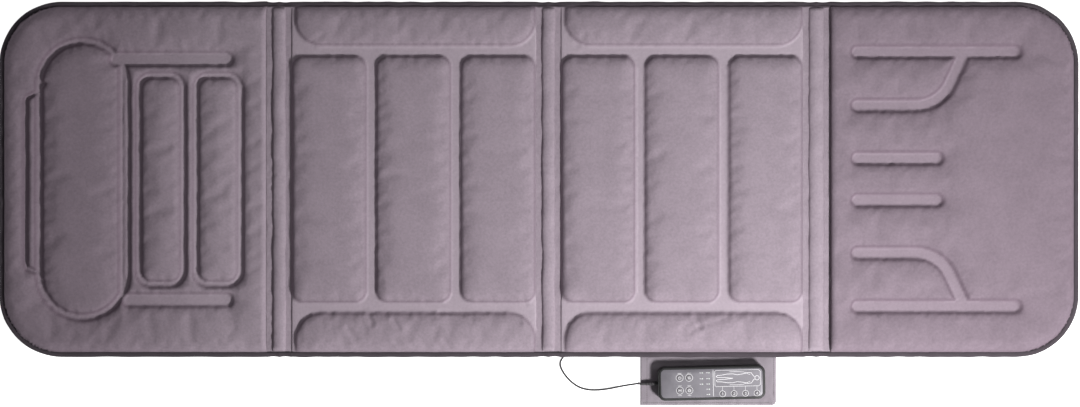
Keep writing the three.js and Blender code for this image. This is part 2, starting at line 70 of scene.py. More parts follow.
# ---- measures shared by the pieces, in millimetres, from the middle of the padded mat ----

MM = 0.001
MID_Y = 38.5
BINDING_LOW, BINDING_HIGH = 8.0, 16.0
WEB_LOW, WEB_HIGH = 9.5, 14.5
FOLD_HEIGHT = 12.0
CORNER = 98.0
HALF = 280.0
FAR = 600.0
WALL_INSET = 10.0
TOUCH = 0.01
HANDSET_AT = (271.0, -319.5, 8.0)
HANDSET_TURN = math.radians(1.3)


def box_of(node):
    """The node's box in millimetres from the middle of the mat."""
    low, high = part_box(node)
    shift = Vector((0, MID_Y, 0))
    return Vector(low) / MM - shift, Vector(high) / MM - shift


class Section:
    """One padded section of the mat: its name, its ends and which of them meet a fold."""

    def __init__(self, name, node, open_low, open_high):
        low, high = box_of(node)
        self.name = name
        self.x0, self.x1 = low.x, high.x
        self.open_low, self.open_high = open_low, open_high

    def rim(self, x, y):
        """How far each point lies inside the bound edge."""
        x0 = self.x0 - FAR * self.open_low
        x1 = self.x1 + FAR * self.open_high
        return box_inside(x, y, x0, x1, -HALF, HALF, CORNER)

    def ends(self, x):
        """How far each point lies from the nearest fold."""
        low = x - self.x0 if self.open_low else x * 0 + FAR
        high = self.x1 - x if self.open_high else x * 0 + FAR
        return np.minimum(low, high)


def box_inside(x, y, x0, x1, y0, y1, radius):
    """How far inside a round-cornered rectangle each point lies; negative outside it."""
    over_x = np.abs(x - (x0 + x1) / 2) - (x1 - x0) / 2 + radius
    over_y = np.abs(y - (y0 + y1) / 2) - (y1 - y0) / 2 + radius
    corner = np.hypot(np.maximum(over_x, 0), np.maximum(over_y, 0))
    return radius - corner - np.minimum(np.maximum(over_x, over_y), 0)


def line_away(x, y, ax, ay, bx, by):
    """How far each point lies from a straight line between two points."""
    dx, dy = bx - ax, by - ay
    along = np.clip(((x - ax) * dx + (y - ay) * dy) / (dx * dx + dy * dy), 0, 1)
    return np.hypot(x - ax - along * dx, y - ay - along * dy)


def route_away(x, y, points):
    """How far each point lies from a chain of straight lines."""
    return np.min([line_away(x, y, *a, *b) for a, b in zip(points, points[1:])], axis=0)


def puff(distance, soft):
    """0 at a seam and 1 past soft, rising steeply first, as stuffed cloth does."""
    share = np.clip(distance / soft, 0, 1)
    return np.sqrt(1 - (1 - share) ** 2)


def ease(value, low, high):
    """0 below low, 1 above high, smooth between them."""
    share = np.clip((value - low) / (high - low), 0, 1)
    return share * share * (3 - 2 * share)


def waves(x, y, length, seed, turns=7):
    """An uneven ripple of that wavelength, between about -1 and 1."""
    rng = np.random.default_rng(seed)
    total = x * 0
    for _ in range(turns):
        angle, phase = rng.uniform(0, 2 * math.pi, 2)
        k = 2 * math.pi / (length * rng.uniform(0.7, 1.4))
        total = total + np.sin(k * (x * math.cos(angle) + y * math.sin(angle)) + phase)
    return total / math.sqrt(turns)


# ---- mesh helpers ----


def to_frame(points):
    """Millimetres from the middle of the mat become metres in the row frame."""
    return (np.asarray(points) + np.array([0, MID_Y, 0])) * MM


def positions(mesh):
    """The vertex positions of a mesh or a bmesh."""
    if isinstance(mesh, bmesh.types.BMesh):
        return np.array([v.co for v in mesh.verts])
    flat = np.empty(len(mesh.vertices) * 3)
    mesh.vertices.foreach_get("co", flat)
    return flat.reshape(-1, 3)


def set_positions(mesh, points):
    """Gives a mesh or a bmesh these vertex positions."""
    if isinstance(mesh, bmesh.types.BMesh):
        for vert, point in zip(mesh.verts, points):
            vert.co = point
    else:
        mesh.vertices.foreach_set("co", np.asarray(points, float).ravel())
        mesh.update()


def grid(x0, x1, y0, y1, step_x, step_y=None):
    """A flat sheet of square cells."""
    bm = bmesh.new()
    cells_x = max(1, round((x1 - x0) / step_x))
    cells_y = max(1, round((y1 - y0) / (step_y or step_x)))
    bmesh.ops.create_grid(bm, x_segments=cells_x, y_segments=cells_y, size=1)
    bmesh.ops.scale(bm, vec=((x1 - x0) / 2, (y1 - y0) / 2, 1), verts=bm.verts)
    bmesh.ops.translate(bm, vec=((x0 + x1) / 2, (y0 + y1) / 2, 0), verts=bm.verts)
    return bm


def drop_loose(bm):
    """Removes what is left of a cut that belongs to no face."""
    bmesh.ops.delete(bm, geom=[e for e in bm.edges if not e.link_faces], context="EDGES")
    bmesh.ops.delete(bm, geom=[v for v in bm.verts if not v.link_faces], context="VERTS")


def round_plate(x0, x1, y0, y1, radii, z, segments):
    """A flat outline; radii are the corner radii at its low-X and high-X ends."""
    bm = grid(x0, x1, y0, y1, x1 - x0, y1 - y0)
    for radius, end in zip(radii, (x0, x1)):
        if radius:
            corners = [v for v in bm.verts if abs(v.co.x - end) < TOUCH]
            bmesh.ops.bevel(bm, geom=corners, offset=radius, offset_type="OFFSET", affect="VERTICES",
                            segments=segments, profile=0.5, material=-1)
    bmesh.ops.translate(bm, vec=(0, 0, z), verts=bm.verts)
    return bm


def raise_plate(bm, height):
    """A flat outline becomes a solid of that height above it."""
    made = bmesh.ops.extrude_face_region(bm, geom=bm.faces[:])
    top = [g for g in made["geom"] if isinstance(g, bmesh.types.BMVert)]
    bmesh.ops.translate(bm, vec=(0, 0, height), verts=top)
    bmesh.ops.recalc_face_normals(bm, faces=bm.faces)
    return bm


def edges_at(bm, z):
    """The edges that lie at that height."""
    return [e for e in bm.edges if all(abs(v.co.z - z) < TOUCH for v in e.verts)]


def round_edges(bm, edges, offset, segments=3):
    """Rounds these edges over."""
    bmesh.ops.bevel(bm, geom=edges, offset=offset, offset_type="OFFSET", affect="EDGES",
                    segments=segments, profile=0.5, material=-1)


def turned(profile, steps=24):
    """A turned solid about X from (distance, radius) points that start and end on the axis."""
    bm = bmesh.new()
    verts = [bm.verts.new((x, 0, r)) for x, r in profile]
    edges = [bm.edges.new(pair) for pair in zip(verts, verts[1:])]
    bmesh.ops.spin(bm, geom=verts + edges, cent=(0, 0, 0), axis=(1, 0, 0), angle=2 * math.pi,
                   steps=steps, use_merge=True)
    bmesh.ops.remove_doubles(bm, verts=bm.verts, dist=0.001)
    bmesh.ops.recalc_face_normals(bm, faces=bm.faces)
    return bm


def bar(bm, a, b, width, height, mat_index=0):
    """A small straight bar between two points, lying flat."""
    a, b = Vector(a), Vector(b)
    run = b - a
    turn = run.to_track_quat("X", "Z").to_matrix().to_4x4()
    size = Matrix.Diagonal((run.length, width, height, 1))
    made = bmesh.ops.create_cube(bm, size=1, matrix=Matrix.Translation((a + b) / 2) @ turn @ size)
    for face in {f for v in made["verts"] for f in v.link_faces}:
        face.material_index = mat_index


def disc(bm, x, y, z0, z1, radius, segments=24, top=None):
    """A round peg standing between two heights."""
    return bmesh.ops.create_cone(
        bm, cap_ends=True, segments=segments, radius1=radius, radius2=radius if top is None else top,
        depth=z1 - z0, matrix=Matrix.Translation((x, y, (z0 + z1) / 2)))["verts"]


def piece(name, bm, materials, smooth=True, turn=None):
    """The finished object of a bmesh that was shaped in millimetres."""
    mesh = bpy.data.meshes.new(name)
    if turn is not None:
        bmesh.ops.transform(bm, matrix=turn, verts=bm.verts)
    bm.to_mesh(mesh)
    bm.free()
    set_positions(mesh, to_frame(positions(mesh)))
    for material in materials:
        mesh.materials.append(material)
    mesh.polygons.foreach_set("use_smooth", [smooth] * len(mesh.polygons))
    obj = bpy.data.objects.new(name, mesh)
    bpy.context.scene.collection.objects.link(obj)
    return obj


def sharpen(obj, degrees=35):
    """Keeps edges steeper than that angle crisp."""
    obj.data.set_sharp_from_angle(angle=math.radians(degrees))


def baked(obj):
    """Applies the object's modifiers to its mesh."""
    bpy.context.view_layer.update()
    graph = bpy.context.evaluated_depsgraph_get()
    mesh = bpy.data.meshes.new_from_object(obj.evaluated_get(graph), preserve_all_data_layers=True,
                                           depsgraph=graph)
    obj.modifiers.clear()
    obj.data = mesh
    return obj


def cut_out(obj, cutter):
    """Cuts the cutter's solids out of the object."""
    cutting = obj.modifiers.new("holes", "BOOLEAN")
    cutting.object = cutter
    cutting.operation = "DIFFERENCE"
    cutting.solver = "EXACT"
    baked(obj)


# ---- materials ----


def add(tree, kind, **settings):
    """A new node with these settings."""
    made = tree.nodes.new(kind)
    for key, value in settings.items():
        setattr(made, key, value)
    return made


def feed(tree, node, **sources):
    """Sets or links the node's inputs by name, with _ for a space."""
    for key, source in sources.items():
        socket = node.inputs[key.replace("_", " ")]
        if isinstance(source, bpy.types.NodeSocket):
            tree.links.new(source, socket)
        else:
            socket.default_value = source
    return node


def noise(tree, where, scale, detail=3.0, roughness=0.55):
    """The value of a noise pattern."""
    made = feed(tree, add(tree, "ShaderNodeTexNoise"), Vector=where, Scale=scale, Detail=detail,
                Roughness=roughness)
    return made.outputs[0]


def maths(tree, operation, a, b):
    """The result of one sum."""
    made = add(tree, "ShaderNodeMath", operation=operation)
    for socket, source in zip(made.inputs, (a, b)):
        if isinstance(source, bpy.types.NodeSocket):
            tree.links.new(source, socket)
        else:
            socket.default_value = source
    return made.outputs[0]


def spread(tree, value, low, high, to_low=0.0, to_high=1.0):
    """Maps a range of values on to another, clamped."""
    made = add(tree, "ShaderNodeMapRange")
    feed(tree, made, Value=value, From_Min=low, From_Max=high, To_Min=to_low, To_Max=to_high)
    return made.outputs[0]


def feed_mix(tree, mix, share, a, b):
    """Sets or links the share and the two colours of a colour mix."""
    for index, source in ((0, share), (6, a), (7, b)):
        if isinstance(source, bpy.types.NodeSocket):
            tree.links.new(source, mix.inputs[index])
        else:
            mix.inputs[index].default_value = source


def blended(tree, share, a, b):
    """A colour between two others."""
    made = add(tree, "ShaderNodeMix", data_type="RGBA")
    feed_mix(tree, made, share, a, b)
    return made.outputs[2]


def group_of(name, inputs, outputs, fill):
    """A shader node group of plain values, built once, with named inputs and outputs."""
    if name in bpy.data.node_groups:
        return bpy.data.node_groups[name]
    tree = bpy.data.node_groups.new(name, "ShaderNodeTree")
    for socket, default in inputs.items():
        made = tree.interface.new_socket(socket, in_out="INPUT", socket_type="NodeSocketFloat")
        made.default_value = default
    for socket in outputs:
        tree.interface.new_socket(socket, in_out="OUTPUT", socket_type="NodeSocketFloat")
    start, end = add(tree, "NodeGroupInput"), add(tree, "NodeGroupOutput")
    where = add(tree, "ShaderNodeTexCoord").outputs["Object"]
    for socket, source in fill(tree, start.outputs, where).items():
        tree.links.new(source, end.inputs[socket])
    return tree


def pile_group():
    """Short plush pile: brushed patches, tufts and single fibres."""

    def fill(tree, given, where):
        """Brushed patches and tufts shade the pile; tufts and fibres raise it."""
        brushed = noise(tree, where, 26.0, 4.0, 0.6)
        tuft = noise(tree, where, 240.0, 3.0, 0.6)
        fibre = noise(tree, where, 1300.0, 2.0, 0.7)
        patches = maths(tree, "MULTIPLY", spread(tree, brushed, 0.35, 0.65, -0.5, 0.5), given["Brushing"])
        tufts = maths(tree, "MULTIPLY", spread(tree, tuft, 0.3, 0.7, -0.5, 0.5), given["Tufting"])
        shade = maths(tree, "ADD", maths(tree, "ADD", patches, tufts), 0.5)
        height = maths(tree, "MULTIPLY", tuft, 0.6)
        height = maths(tree, "ADD", height, maths(tree, "MULTIPLY", fibre, 0.4))
        return {"Shade": shade, "Height": height}

    return group_of("Plush pile", {"Brushing": 0.6, "Tufting": 0.5}, ["Shade", "Height"], fill)


def weave_group():
    """Woven cloth: warp and weft threads over and under, with uneven yarn."""

    def fill(tree, given, where):
        """Threads cross over and under each other; yarn and fading vary them."""
        split = feed(tree, add(tree, "ShaderNodeSeparateXYZ"), Vector=where)
        turn = maths(tree, "DIVIDE", 2 * math.pi, given["Thread"])
        warp = maths(tree, "SINE", maths(tree, "MULTIPLY", split.outputs[0], turn), 0.0)
        side = maths(tree, "ADD", split.outputs[1], split.outputs[2])
        weft = maths(tree, "SINE", maths(tree, "MULTIPLY", side, turn), 0.0)
        over = maths(tree, "MULTIPLY", warp, weft)
        yarn = noise(tree, where, 420.0, 2.0, 0.6)
        faded = noise(tree, where, 30.0, 3.0, 0.55)
        height = maths(tree, "ADD", spread(tree, over, -1.0, 1.0), maths(tree, "MULTIPLY", yarn, 0.5))
        shade = maths(tree, "MULTIPLY", height, 0.35)
        shade = maths(tree, "ADD", shade, maths(tree, "MULTIPLY", faded, 0.8))
        return {"Shade": shade, "Height": height}

    return group_of("Woven cloth", {"Thread": 0.0012}, ["Shade", "Height"], fill)


def handling_group():
    """Moulded surfaces: fine grain, faint finger marks and specks of lint."""

    def fill(tree, given, where):
        """Fine grain raises the surface; finger marks change its gloss."""
        grain = noise(tree, where, 1600.0, 2.0, 0.6)
        marks = spread(tree, noise(tree, where, 45.0, 4.0, 0.65), 0.42, 0.66)
        lint = spread(tree, noise(tree, where, 2600.0, 1.0, 0.5), 0.74, 0.78)
        rough = maths(tree, "ADD", given["Roughness"], maths(tree, "MULTIPLY", marks, given["Marks"]))
        return {"Roughness": rough, "Marks": marks, "Lint": lint, "Height": grain}

    return group_of("Handling", {"Roughness": 0.4, "Marks": 0.15}, ["Roughness", "Marks", "Lint", "Height"],
                    fill)


def place_group(tree, group, **values):
    """The group as a node of a material."""
    made = add(tree, "ShaderNodeGroup")
    made.node_tree = group
    return feed(tree, made, **values)


def linear(colour):
    """A shader colour from a colour picked on screen, 0 to 255."""
    parts = [c / 255 for c in colour]
    return tuple(((p + 0.055) / 1.055) ** 2.4 if p > 0.04045 else p / 12.92 for p in parts) + (1.0,)


def shaded(colour, factor):
    """The same colour, lighter or darker."""
    return tuple(min(1.0, c * factor) for c in colour[:3]) + (1.0,)


def new_material(name):
    """A material with only its shader and output, and the two of them."""
    material = bpy.data.materials.new(name)
    material.use_nodes = True
    tree = material.node_tree
    return material, tree, tree.nodes["Principled BSDF"]


def bumped(tree, shader, height, distance, strength=0.6):
    """Feeds a height into the shader's normal."""
    bump = feed(tree, add(tree, "ShaderNodeBump"), Height=height, Distance=distance, Strength=strength)
    tree.links.new(bump.outputs[0], shader.inputs["Normal"])


def plush_material(name, colour, pressed):
    """Soft pile, paler where a seam has pressed it flat, and darkened by painted shade stored per point."""
    material, tree, shader = new_material(name)
    pile = place_group(tree, pile_group(), Brushing=0.3, Tufting=0.55)
    deep = blended(tree, pile.outputs["Shade"], shaded(colour, 0.84), shaded(colour, 1.14))
    flat = blended(tree, pile.outputs["Shade"], shaded(pressed, 0.94), shaded(pressed, 1.06))
    mask = add(tree, "ShaderNodeAttribute", attribute_name="pressed").outputs["Fac"]
    laid = add(tree, "ShaderNodeAttribute", attribute_name="laid").outputs["Fac"]
    pile_tone = blended(tree, mask, deep, flat)
    # Painted shade: the per-point shade attribute multiplies the pile colour towards a dark tone.
    painted_shade_mix = add(tree, "ShaderNodeMix", data_type="RGBA", blend_type="MULTIPLY")
    feed_mix(tree, painted_shade_mix, laid, pile_tone, (0.54, 0.49, 0.525, 1.0))
    feed(tree, shader, Base_Color=painted_shade_mix.outputs[2], Roughness=0.94,
         Specular_IOR_Level=0.18, Sheen_Weight=0.12, Sheen_Roughness=0.55,
         Sheen_Tint=shaded(colour, 1.9))
    bumped(tree, shader, pile.outputs["Height"], 0.0009, 0.75)
    return material


def woven_material(name, colour, thread, distance=0.0003):
    """Woven cloth or tape."""
    material, tree, shader = new_material(name)
    weave = place_group(tree, weave_group(), Thread=thread)
    tone = blended(tree, weave.outputs["Shade"], shaded(colour, 0.72), shaded(colour, 1.3))
    feed(tree, shader, Base_Color=tone, Roughness=0.86, Specular_IOR_Level=0.25, Sheen_Weight=0.06,
         Sheen_Roughness=0.5)
    bumped(tree, shader, weave.outputs["Height"], distance, 0.8)
    return material


def moulded_material(name, colour, roughness, marks=0.12, metallic=0.0, coat=0.0):
    """Plastic, rubber or metal that hands touch."""
    material, tree, shader = new_material(name)
    handled = place_group(tree, handling_group(), Roughness=roughness, Marks=marks)
    tone = blended(tree, handled.outputs["Marks"], colour, shaded(colour, 1.12))
    tone = blended(tree, handled.outputs["Lint"], tone, shaded(colour, 1.7))
    feed(tree, shader, Base_Color=tone, Roughness=handled.outputs["Roughness"], Metallic=metallic,
         Coat_Weight=coat, Coat_Roughness=0.2)
    bumped(tree, shader, handled.outputs["Height"], 0.00003, 0.5)
    return material


# ---- sizes and colours that a user would change ----


def length_property(name, description, value):
    """A length in metres with its label."""
    return FloatProperty(name=name, description=description, default=value, min=0.0,
                         subtype="DISTANCE", unit="LENGTH", precision=5)


def colour_property(name, description, colour):
    """A colour with its label."""
    return FloatVectorProperty(name=name, description=description, default=linear(colour), size=4,
                               min=0.0, max=1.0, subtype="COLOR")


class MassageMatSizes(bpy.types.PropertyGroup):
    """Sizes of the soft parts."""

    cell: length_property("Cloth cell", "Width of one cell of the plush covers before refining", 0.005)
    pad_top: length_property("Pad height", "Height of the raised back and seat pads", 0.0275)
    cushion_top: length_property("Cushion height", "Height of the bolsters, head and leg", 0.0262)
    channel_floor: length_property("Channel height", "Height of the pressed channels", 0.0158)
    cover_sheet: length_property("Cover thickness", "Thickness of the plush with its backing", 0.0018)
    swell: length_property("Swell", "Most that the filling may push the plush out of line", 0.0032)
    ridge_rise: length_property("Fold ridge", "Height of the padded ridge on each fold band", 0.0058)
    grip_pitch: length_property("Grip spacing", "Distance between grip studs of the underside", 0.012)
    stitch_pitch: length_property("Stitch length", "Length of one zig of the edge stitch", 0.0024)
    cord_width: length_property("Cord diameter", "Thickness of the hand control's cord", 0.003)
    pressure: FloatProperty(name="Filling pressure", default=4.0, min=0.0,
                            description="Pressure inside the covers while they settle")
    seed: IntProperty(name="Seed", description="Start of the uneven patterns", default=11)


class MassageMatColours(bpy.types.PropertyGroup):
    """Colours of the cloths and plastics."""

    plush: colour_property("Plush", "Pile of the top covers", (152, 139, 149))
    pressed: colour_property("Pressed plush", "Pile flattened in seams and channels", (176, 163, 173))
    band: colour_property("Fold band", "Cloth between the sections", (156, 143, 153))
    binding: colour_property("Binding", "Edge tape", (72, 65, 71))
    thread: colour_property("Thread", "Edge and pocket stitches", (62, 56, 61))
    base: colour_property("Base cloth", "Underside", (66, 61, 66))
    pocket: colour_property("Pocket", "Side pocket cloth", (133, 125, 132))
    shell: colour_property("Shell", "Hand control housing", (10, 10, 11))
    face: colour_property("Face", "Plate round the keys", (110, 107, 113))
    marking: colour_property("Marking", "Printed signs", (226, 224, 226))


MATERIALS = {}


def material(name):
    """The material of that name, made when it is first needed."""
    colours = bpy.context.scene.massage_mat_colours
    makers = {
        "plush": lambda: plush_material("Plush pile", colours.plush, colours.pressed),
        "band": lambda: plush_material("Fold band pile", colours.band, colours.pressed),
        "binding": lambda: woven_material("Binding tape", colours.binding, 0.0009),
        "thread": lambda: woven_material("Sewing thread", colours.thread, 0.0004, 0.0001),
        "base": lambda: woven_material("Base cloth", colours.base, 0.0011),
        "pocket": lambda: woven_material("Pocket cloth", colours.pocket, 0.0008, 0.0002),
        # The pocket's back cloth is the pocket colour at 0.6: painted shade inside the pocket's mouth.
        "lining": lambda: woven_material("Pocket lining", shaded(colours.pocket, 0.6), 0.0008, 0.0002),
        "grip": lambda: moulded_material("Grip studs", linear((48, 45, 48)), 0.75),
        "shell": lambda: moulded_material("Matt shell", colours.shell, 0.5, 0.12, coat=0.03),
        "face": lambda: moulded_material("Face plate", colours.face, 0.42, 0.1, 0.15),
        "marking": lambda: moulded_material("Printed signs", colours.marking, 0.5, 0.05),
        "key": lambda: moulded_material("Keys", linear((98, 95, 100)), 0.5),
        # A dark ring colour meant as painted shadow in the gaps round the keys; no piece uses it.
        "gap": lambda: moulded_material("Key surround", linear((38, 36, 38)), 0.6),
        "lamp": lambda: moulded_material("Indicator lens", linear((206, 214, 206)), 0.25, 0.05, coat=0.6),
        "rubber": lambda: moulded_material("Soft rubber", linear((42, 39, 42)), 0.62),
        "jacket": lambda: moulded_material("Cord jacket", linear((34, 32, 34)), 0.5),
        "foam": foam_material,
        "heat": heat_material,
        "motor": lambda: moulded_material("Motor case", linear((46, 46, 49)), 0.45),
        "steel": lambda: moulded_material("Plated steel", linear((176, 174, 170)), 0.28, 0.15, 1.0),
        "board": board_material,
    }
    if name not in MATERIALS:
        MATERIALS[name] = makers[name]()
    return MATERIALS[name]


def foam_material():
    """Open foam with its cells."""
    made, tree, shader = new_material("Open foam")
    where = add(tree, "ShaderNodeTexCoord").outputs["Object"]
    cells = feed(tree, add(tree, "ShaderNodeTexVoronoi"), Vector=where, Scale=700.0).outputs["Distance"]
    tone = blended(tree, spread(tree, cells, 0.1, 0.6), linear((196, 188, 168)), linear((232, 226, 208)))
    feed(tree, shader, Base_Color=tone, Roughness=0.95)
    bumped(tree, shader, cells, 0.0006)
    return made


def heat_material():
    """Heat sheet: dark felt with its heating lines."""
    made, tree, shader = new_material("Heat sheet")
    where = add(tree, "ShaderNodeTexCoord").outputs["Object"]
    lines = add(tree, "ShaderNodeTexWave", bands_direction="Y")
    feed(tree, lines, Vector=where, Scale=18.0, Distortion=1.5, Detail_Scale=6.0)
    wire = spread(tree, lines.outputs[1], 0.9, 0.96)
    felt = blended(tree, noise(tree, where, 600.0), linear((38, 38, 42)), linear((72, 72, 77)))
    feed(tree, shader, Base_Color=blended(tree, wire, felt, linear((150, 90, 52))), Roughness=0.85)
    bumped(tree, shader, wire, 0.0004)
    return made


def board_material():
    """Printed board with its tracks."""
    made, tree, shader = new_material("Circuit board")
    where = add(tree, "ShaderNodeTexCoord").outputs["Object"]
    cells = feed(tree, add(tree, "ShaderNodeTexVoronoi", distance="MANHATTAN", feature="F1"), Vector=where,
                 Scale=260.0).outputs["Distance"]
    tracks = spread(tree, cells, 0.42, 0.47)
    tone = blended(tree, tracks, linear((22, 84, 48)), linear((58, 128, 70)))
    feed(tree, shader, Base_Color=tone, Roughness=0.4, Coat_Weight=0.4, Coat_Roughness=0.2)
    bumped(tree, shader, tracks, 0.0001)
    return made


def section(name):
    """One of the four padded sections."""
    nodes = {"head": ("head_binding", False, True), "back": ("back_binding_left", True, True),
             "seat": ("seat_binding_left", True, True), "leg": ("leg_binding", True, False)}
    return Section(name, *nodes[name])


FOLDS = {"head": ("head", "back"), "middle": ("back", "seat"), "leg": ("seat", "leg")}

# ---- stage ----


class MASSAGEMAT_OT_stage(bpy.types.Operator):
    """Floor, soft light and the camera straight above"""

    bl_idname = "massage_mat.stage"
    bl_label = "Stage"

    def execute(self, context):
        floor = grid(-6000, 6000, -6000, 6000, 12000)
        made, tree, shader = new_material("Pale floor")
        where = add(tree, "ShaderNodeTexCoord").outputs["Object"]
        tone = blended(tree, noise(tree, where, 3.0), linear((244, 244, 245)), linear((248, 248, 248)))
        feed(tree, shader, Base_Color=tone, Roughness=0.8)
        shader.inputs["Emission Color"].default_value = (1, 1, 1, 1)
        shader.inputs["Emission Strength"].default_value = 0.95
        piece("floor", floor, [made])
        self.lamp("key_light", (0.88, -0.84, 1.15), (-0.65, 0.2, 0.0), 0.28, 35.0)
        self.lamp("side_light", (1.9, 0.3, 0.7), (0.0, 0.0, 0.0), 0.6, 6.5)
        world = bpy.data.worlds.new("soft_room")
        context.scene.world = world
        world.use_nodes = True
        room = world.node_tree
        seen = add(room, "ShaderNodeLightPath").outputs["Is Camera Ray"]
        strength = maths(room, "ADD", maths(room, "MULTIPLY", seen, 0.76), 0.2)
        feed(room, room.nodes["Background"], Color=(0.98, 0.98, 1.0, 1), Strength=strength)
        context.scene.view_settings.view_transform = "Standard"
        lens = bpy.data.cameras.new("camera")
        lens.lens, lens.sensor_width, lens.clip_end = 63.2, 36.0, 20.0
        camera = bpy.data.objects.new("camera", lens)
        camera.location = (0.0016, 0.0005, 3.0)
        context.scene.collection.objects.link(camera)
        context.scene.camera = camera
        return {"FINISHED"}

    def lamp(self, name, place, aim, size, power):
        """One square soft lamp aimed at a point."""
        light = bpy.data.lights.new(name, "AREA")
        light.shape, light.size, light.energy = "SQUARE", size, power
        lamp = bpy.data.objects.new(name, light)
        lamp.location = place
        lamp.rotation_euler = (Vector(aim) - Vector(place)).to_track_quat("-Z", "Y").to_euler()
        bpy.context.scene.collection.objects.link(lamp)


# ---- cord ----

CORD_ROUTE = [
    (40, -272.6, 4.2), (39.9, -275.2, 4.1), (39, -278.6, 3.5), (37.2, -282.2, 2.6), (34.9, -286, 1.9),
    (33.6, -290.4, 1.7), (34.3, -296, 1.7), (38.4, -304.6, 1.7), (45.6, -314.2, 1.7),
    (54.6, -322.6, 1.7), (65.4, -329, 1.7), (77.8, -332.2, 1.7), (90, -332.8, 1.7), (103, -331.8, 1.8),
    (116, -329.6, 2.6), (127.4, -327, 4.8), (137.6, -324.8, 8), (146.4, -323.1, 11.1),
    (153.2, -321.9, 12.8), (158.6, -321.1, 13.25),
]


class MASSAGEMAT_OT_cord(bpy.types.Operator):
    """The hand control's cord and its grommet in the mat's wall"""

    bl_idname = "massage_mat.cord"
    bl_label = "Cord"

    def execute(self, context):
        width = context.scene.massage_mat_sizes.cord_width
        grommet = piece("cord_grommet_piece", turned([
            (1.4, 0), (1.4, 2.2), (0, 2.2), (0, 3.2), (-0.6, 3.2), (-1.3, 3.0), (-1.9, 2.5), (-2.0, 1.7),
            (-2.0, 0)]), [material("rubber")],
            turn=Matrix.Translation((40.0, -270.3, 4.2)) @ Matrix.Rotation(math.pi / 2, 4, "Z"))
        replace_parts(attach(grommet, "seat"), "cord_grommet")
        curve = bpy.data.curves.new("hand_control_cord", "CURVE")
        curve.dimensions, curve.bevel_depth, curve.bevel_resolution = "3D", width / 2, 5
        curve.resolution_u, curve.use_fill_caps = 4, True
        spline = curve.splines.new("BEZIER")
        route = to_frame(CORD_ROUTE)
        spline.bezier_points.add(len(route) - 1)
        for point, place in zip(spline.bezier_points, route):
            point.co = place
            point.handle_left_type = point.handle_right_type = "AUTO"
        curve.materials.append(material("jacket"))
        line = bpy.data.objects.new("cord_line", curve)
        context.scene.collection.objects.link(line)
        context.view_layer.update()
        cord = bpy.data.objects.new("hand_control_cord", bpy.data.meshes.new_from_object(line))
        context.scene.collection.objects.link(cord)
        bpy.data.objects.remove(line)
        cord.data.name = cord.name
        cord.data.shade_smooth()
        sharpen(cord, 60)
        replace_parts(cord, "handset_cord")
        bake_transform(cord)
        return {"FINISHED"}


# ---- plush covers ----


def branch_route(side):
    """The groove that leaves the calf line, turns outwards and joins the long groove."""
    start, bend, radius, middle, angle = 501.0, 592.0, 60.0, 116.0, math.radians(65)
    turns = [angle * i / 8 for i in range(9)]
    arc = [(bend + radius * math.sin(a), side * (middle + radius * (1 - math.cos(a)))) for a in turns]
    end_x = arc[-1][0] + (200.0 - abs(arc[-1][1])) / math.tan(angle)
    return [(start, side * middle), *arc, (end_x, side * 200.0)]


def head_channels(part, x, y):
    """How far each point of the head section lies from its pressed grooves."""
    pillow = np.abs(box_inside(x, y, -782, -651, -213.5, 213.5, 65.4) + 3.5) - 3.5
    necks = [np.abs(box_inside(x, y, x0, x1, -162, 160, 18) + 3.0) - 3.0
             for x0, x1 in ((-626, -562), (-536, -472))]
    strip = route_away(x, y, [(-779, 150), (-790, 136), (-804, 129), (-807, 122), (-807, -132),
                              (-804, -140), (-790, -146), (-780, -160)]) - 1.2
    sides = [line_away(x, y, -664, 189, -491, 189) - 9, line_away(x, y, -644, -190, -491, -190) - 8.5]
    across = line_away(x, y, -655, -182, -655, 184) - 3.0
    return np.min([pillow, *necks, strip, *sides, across], axis=0)


def leg_channels(part, x, y):
    """How far each point of the leg section lies from its pressed grooves."""
    routes = []
    for side in (1, -1):
        routes += [[(501, side * 200), (748, side * 200)], branch_route(side),
                   [(501, side * 33), (625, side * 33)]]
    return np.min([route_away(x, y, points) for points in routes], axis=0) - 8.0


def pad_channels(part, x, y):
    """How far each point of the back or seat lies inside its pads and bolsters."""
    gap = 13.0
    width = (part.x1 - part.x0 - 2 * gap) / 3
    pads = [box_inside(x, y, start, start + width, -195, 195, 20)
            for start in (part.x0 + i * (width + gap) for i in range(3))]
    side = box_inside(x, np.abs(y), part.x0 + 6, part.x1, 209, HALF + 150, 42)
    return np.max([*pads, side], axis=0)


CHANNELS = {"head": head_channels, "leg": leg_channels, "back": pad_channels, "seat": pad_channels}

# half the width of the quilted pads, how far the tape reaches in, and the cover's height beneath it
PADS_HALF = 202
TAPE_REACH = 8.6
COVER_LOW = 14.3

# creases pressed into the pile: section, start, end, depth and half width
CREASES = [
    ("back", (-268, -214), (-262, -226), 1.5, 3.4), ("back", (-228, -222), (-220, -233), 1.3, 3.4),
    ("back", (-300, -236), (-288, -250), 0.9, 4.0), ("back", (-150, -252), (-140, -262), 0.9, 3.4),
    ("back", (-156, -209), (-112, -211), 1.0, 2.8), ("back", (-44, -214), (-30, -224), 1.5, 3.6),
    ("back", (-26, -184), (-20, -194), 1.0, 3.4), ("back", (-356, 214), (-340, 226), 0.7, 4.0),
    ("seat", (244, -214), (254, -232), 1.5, 3.6), ("seat", (250, -232), (238, -240), 0.9, 3.4),
    ("seat", (254, -232), (296, -216), 0.7, 3.6), ("seat", (60, 212), (72, 226), 0.7, 4.0),
]


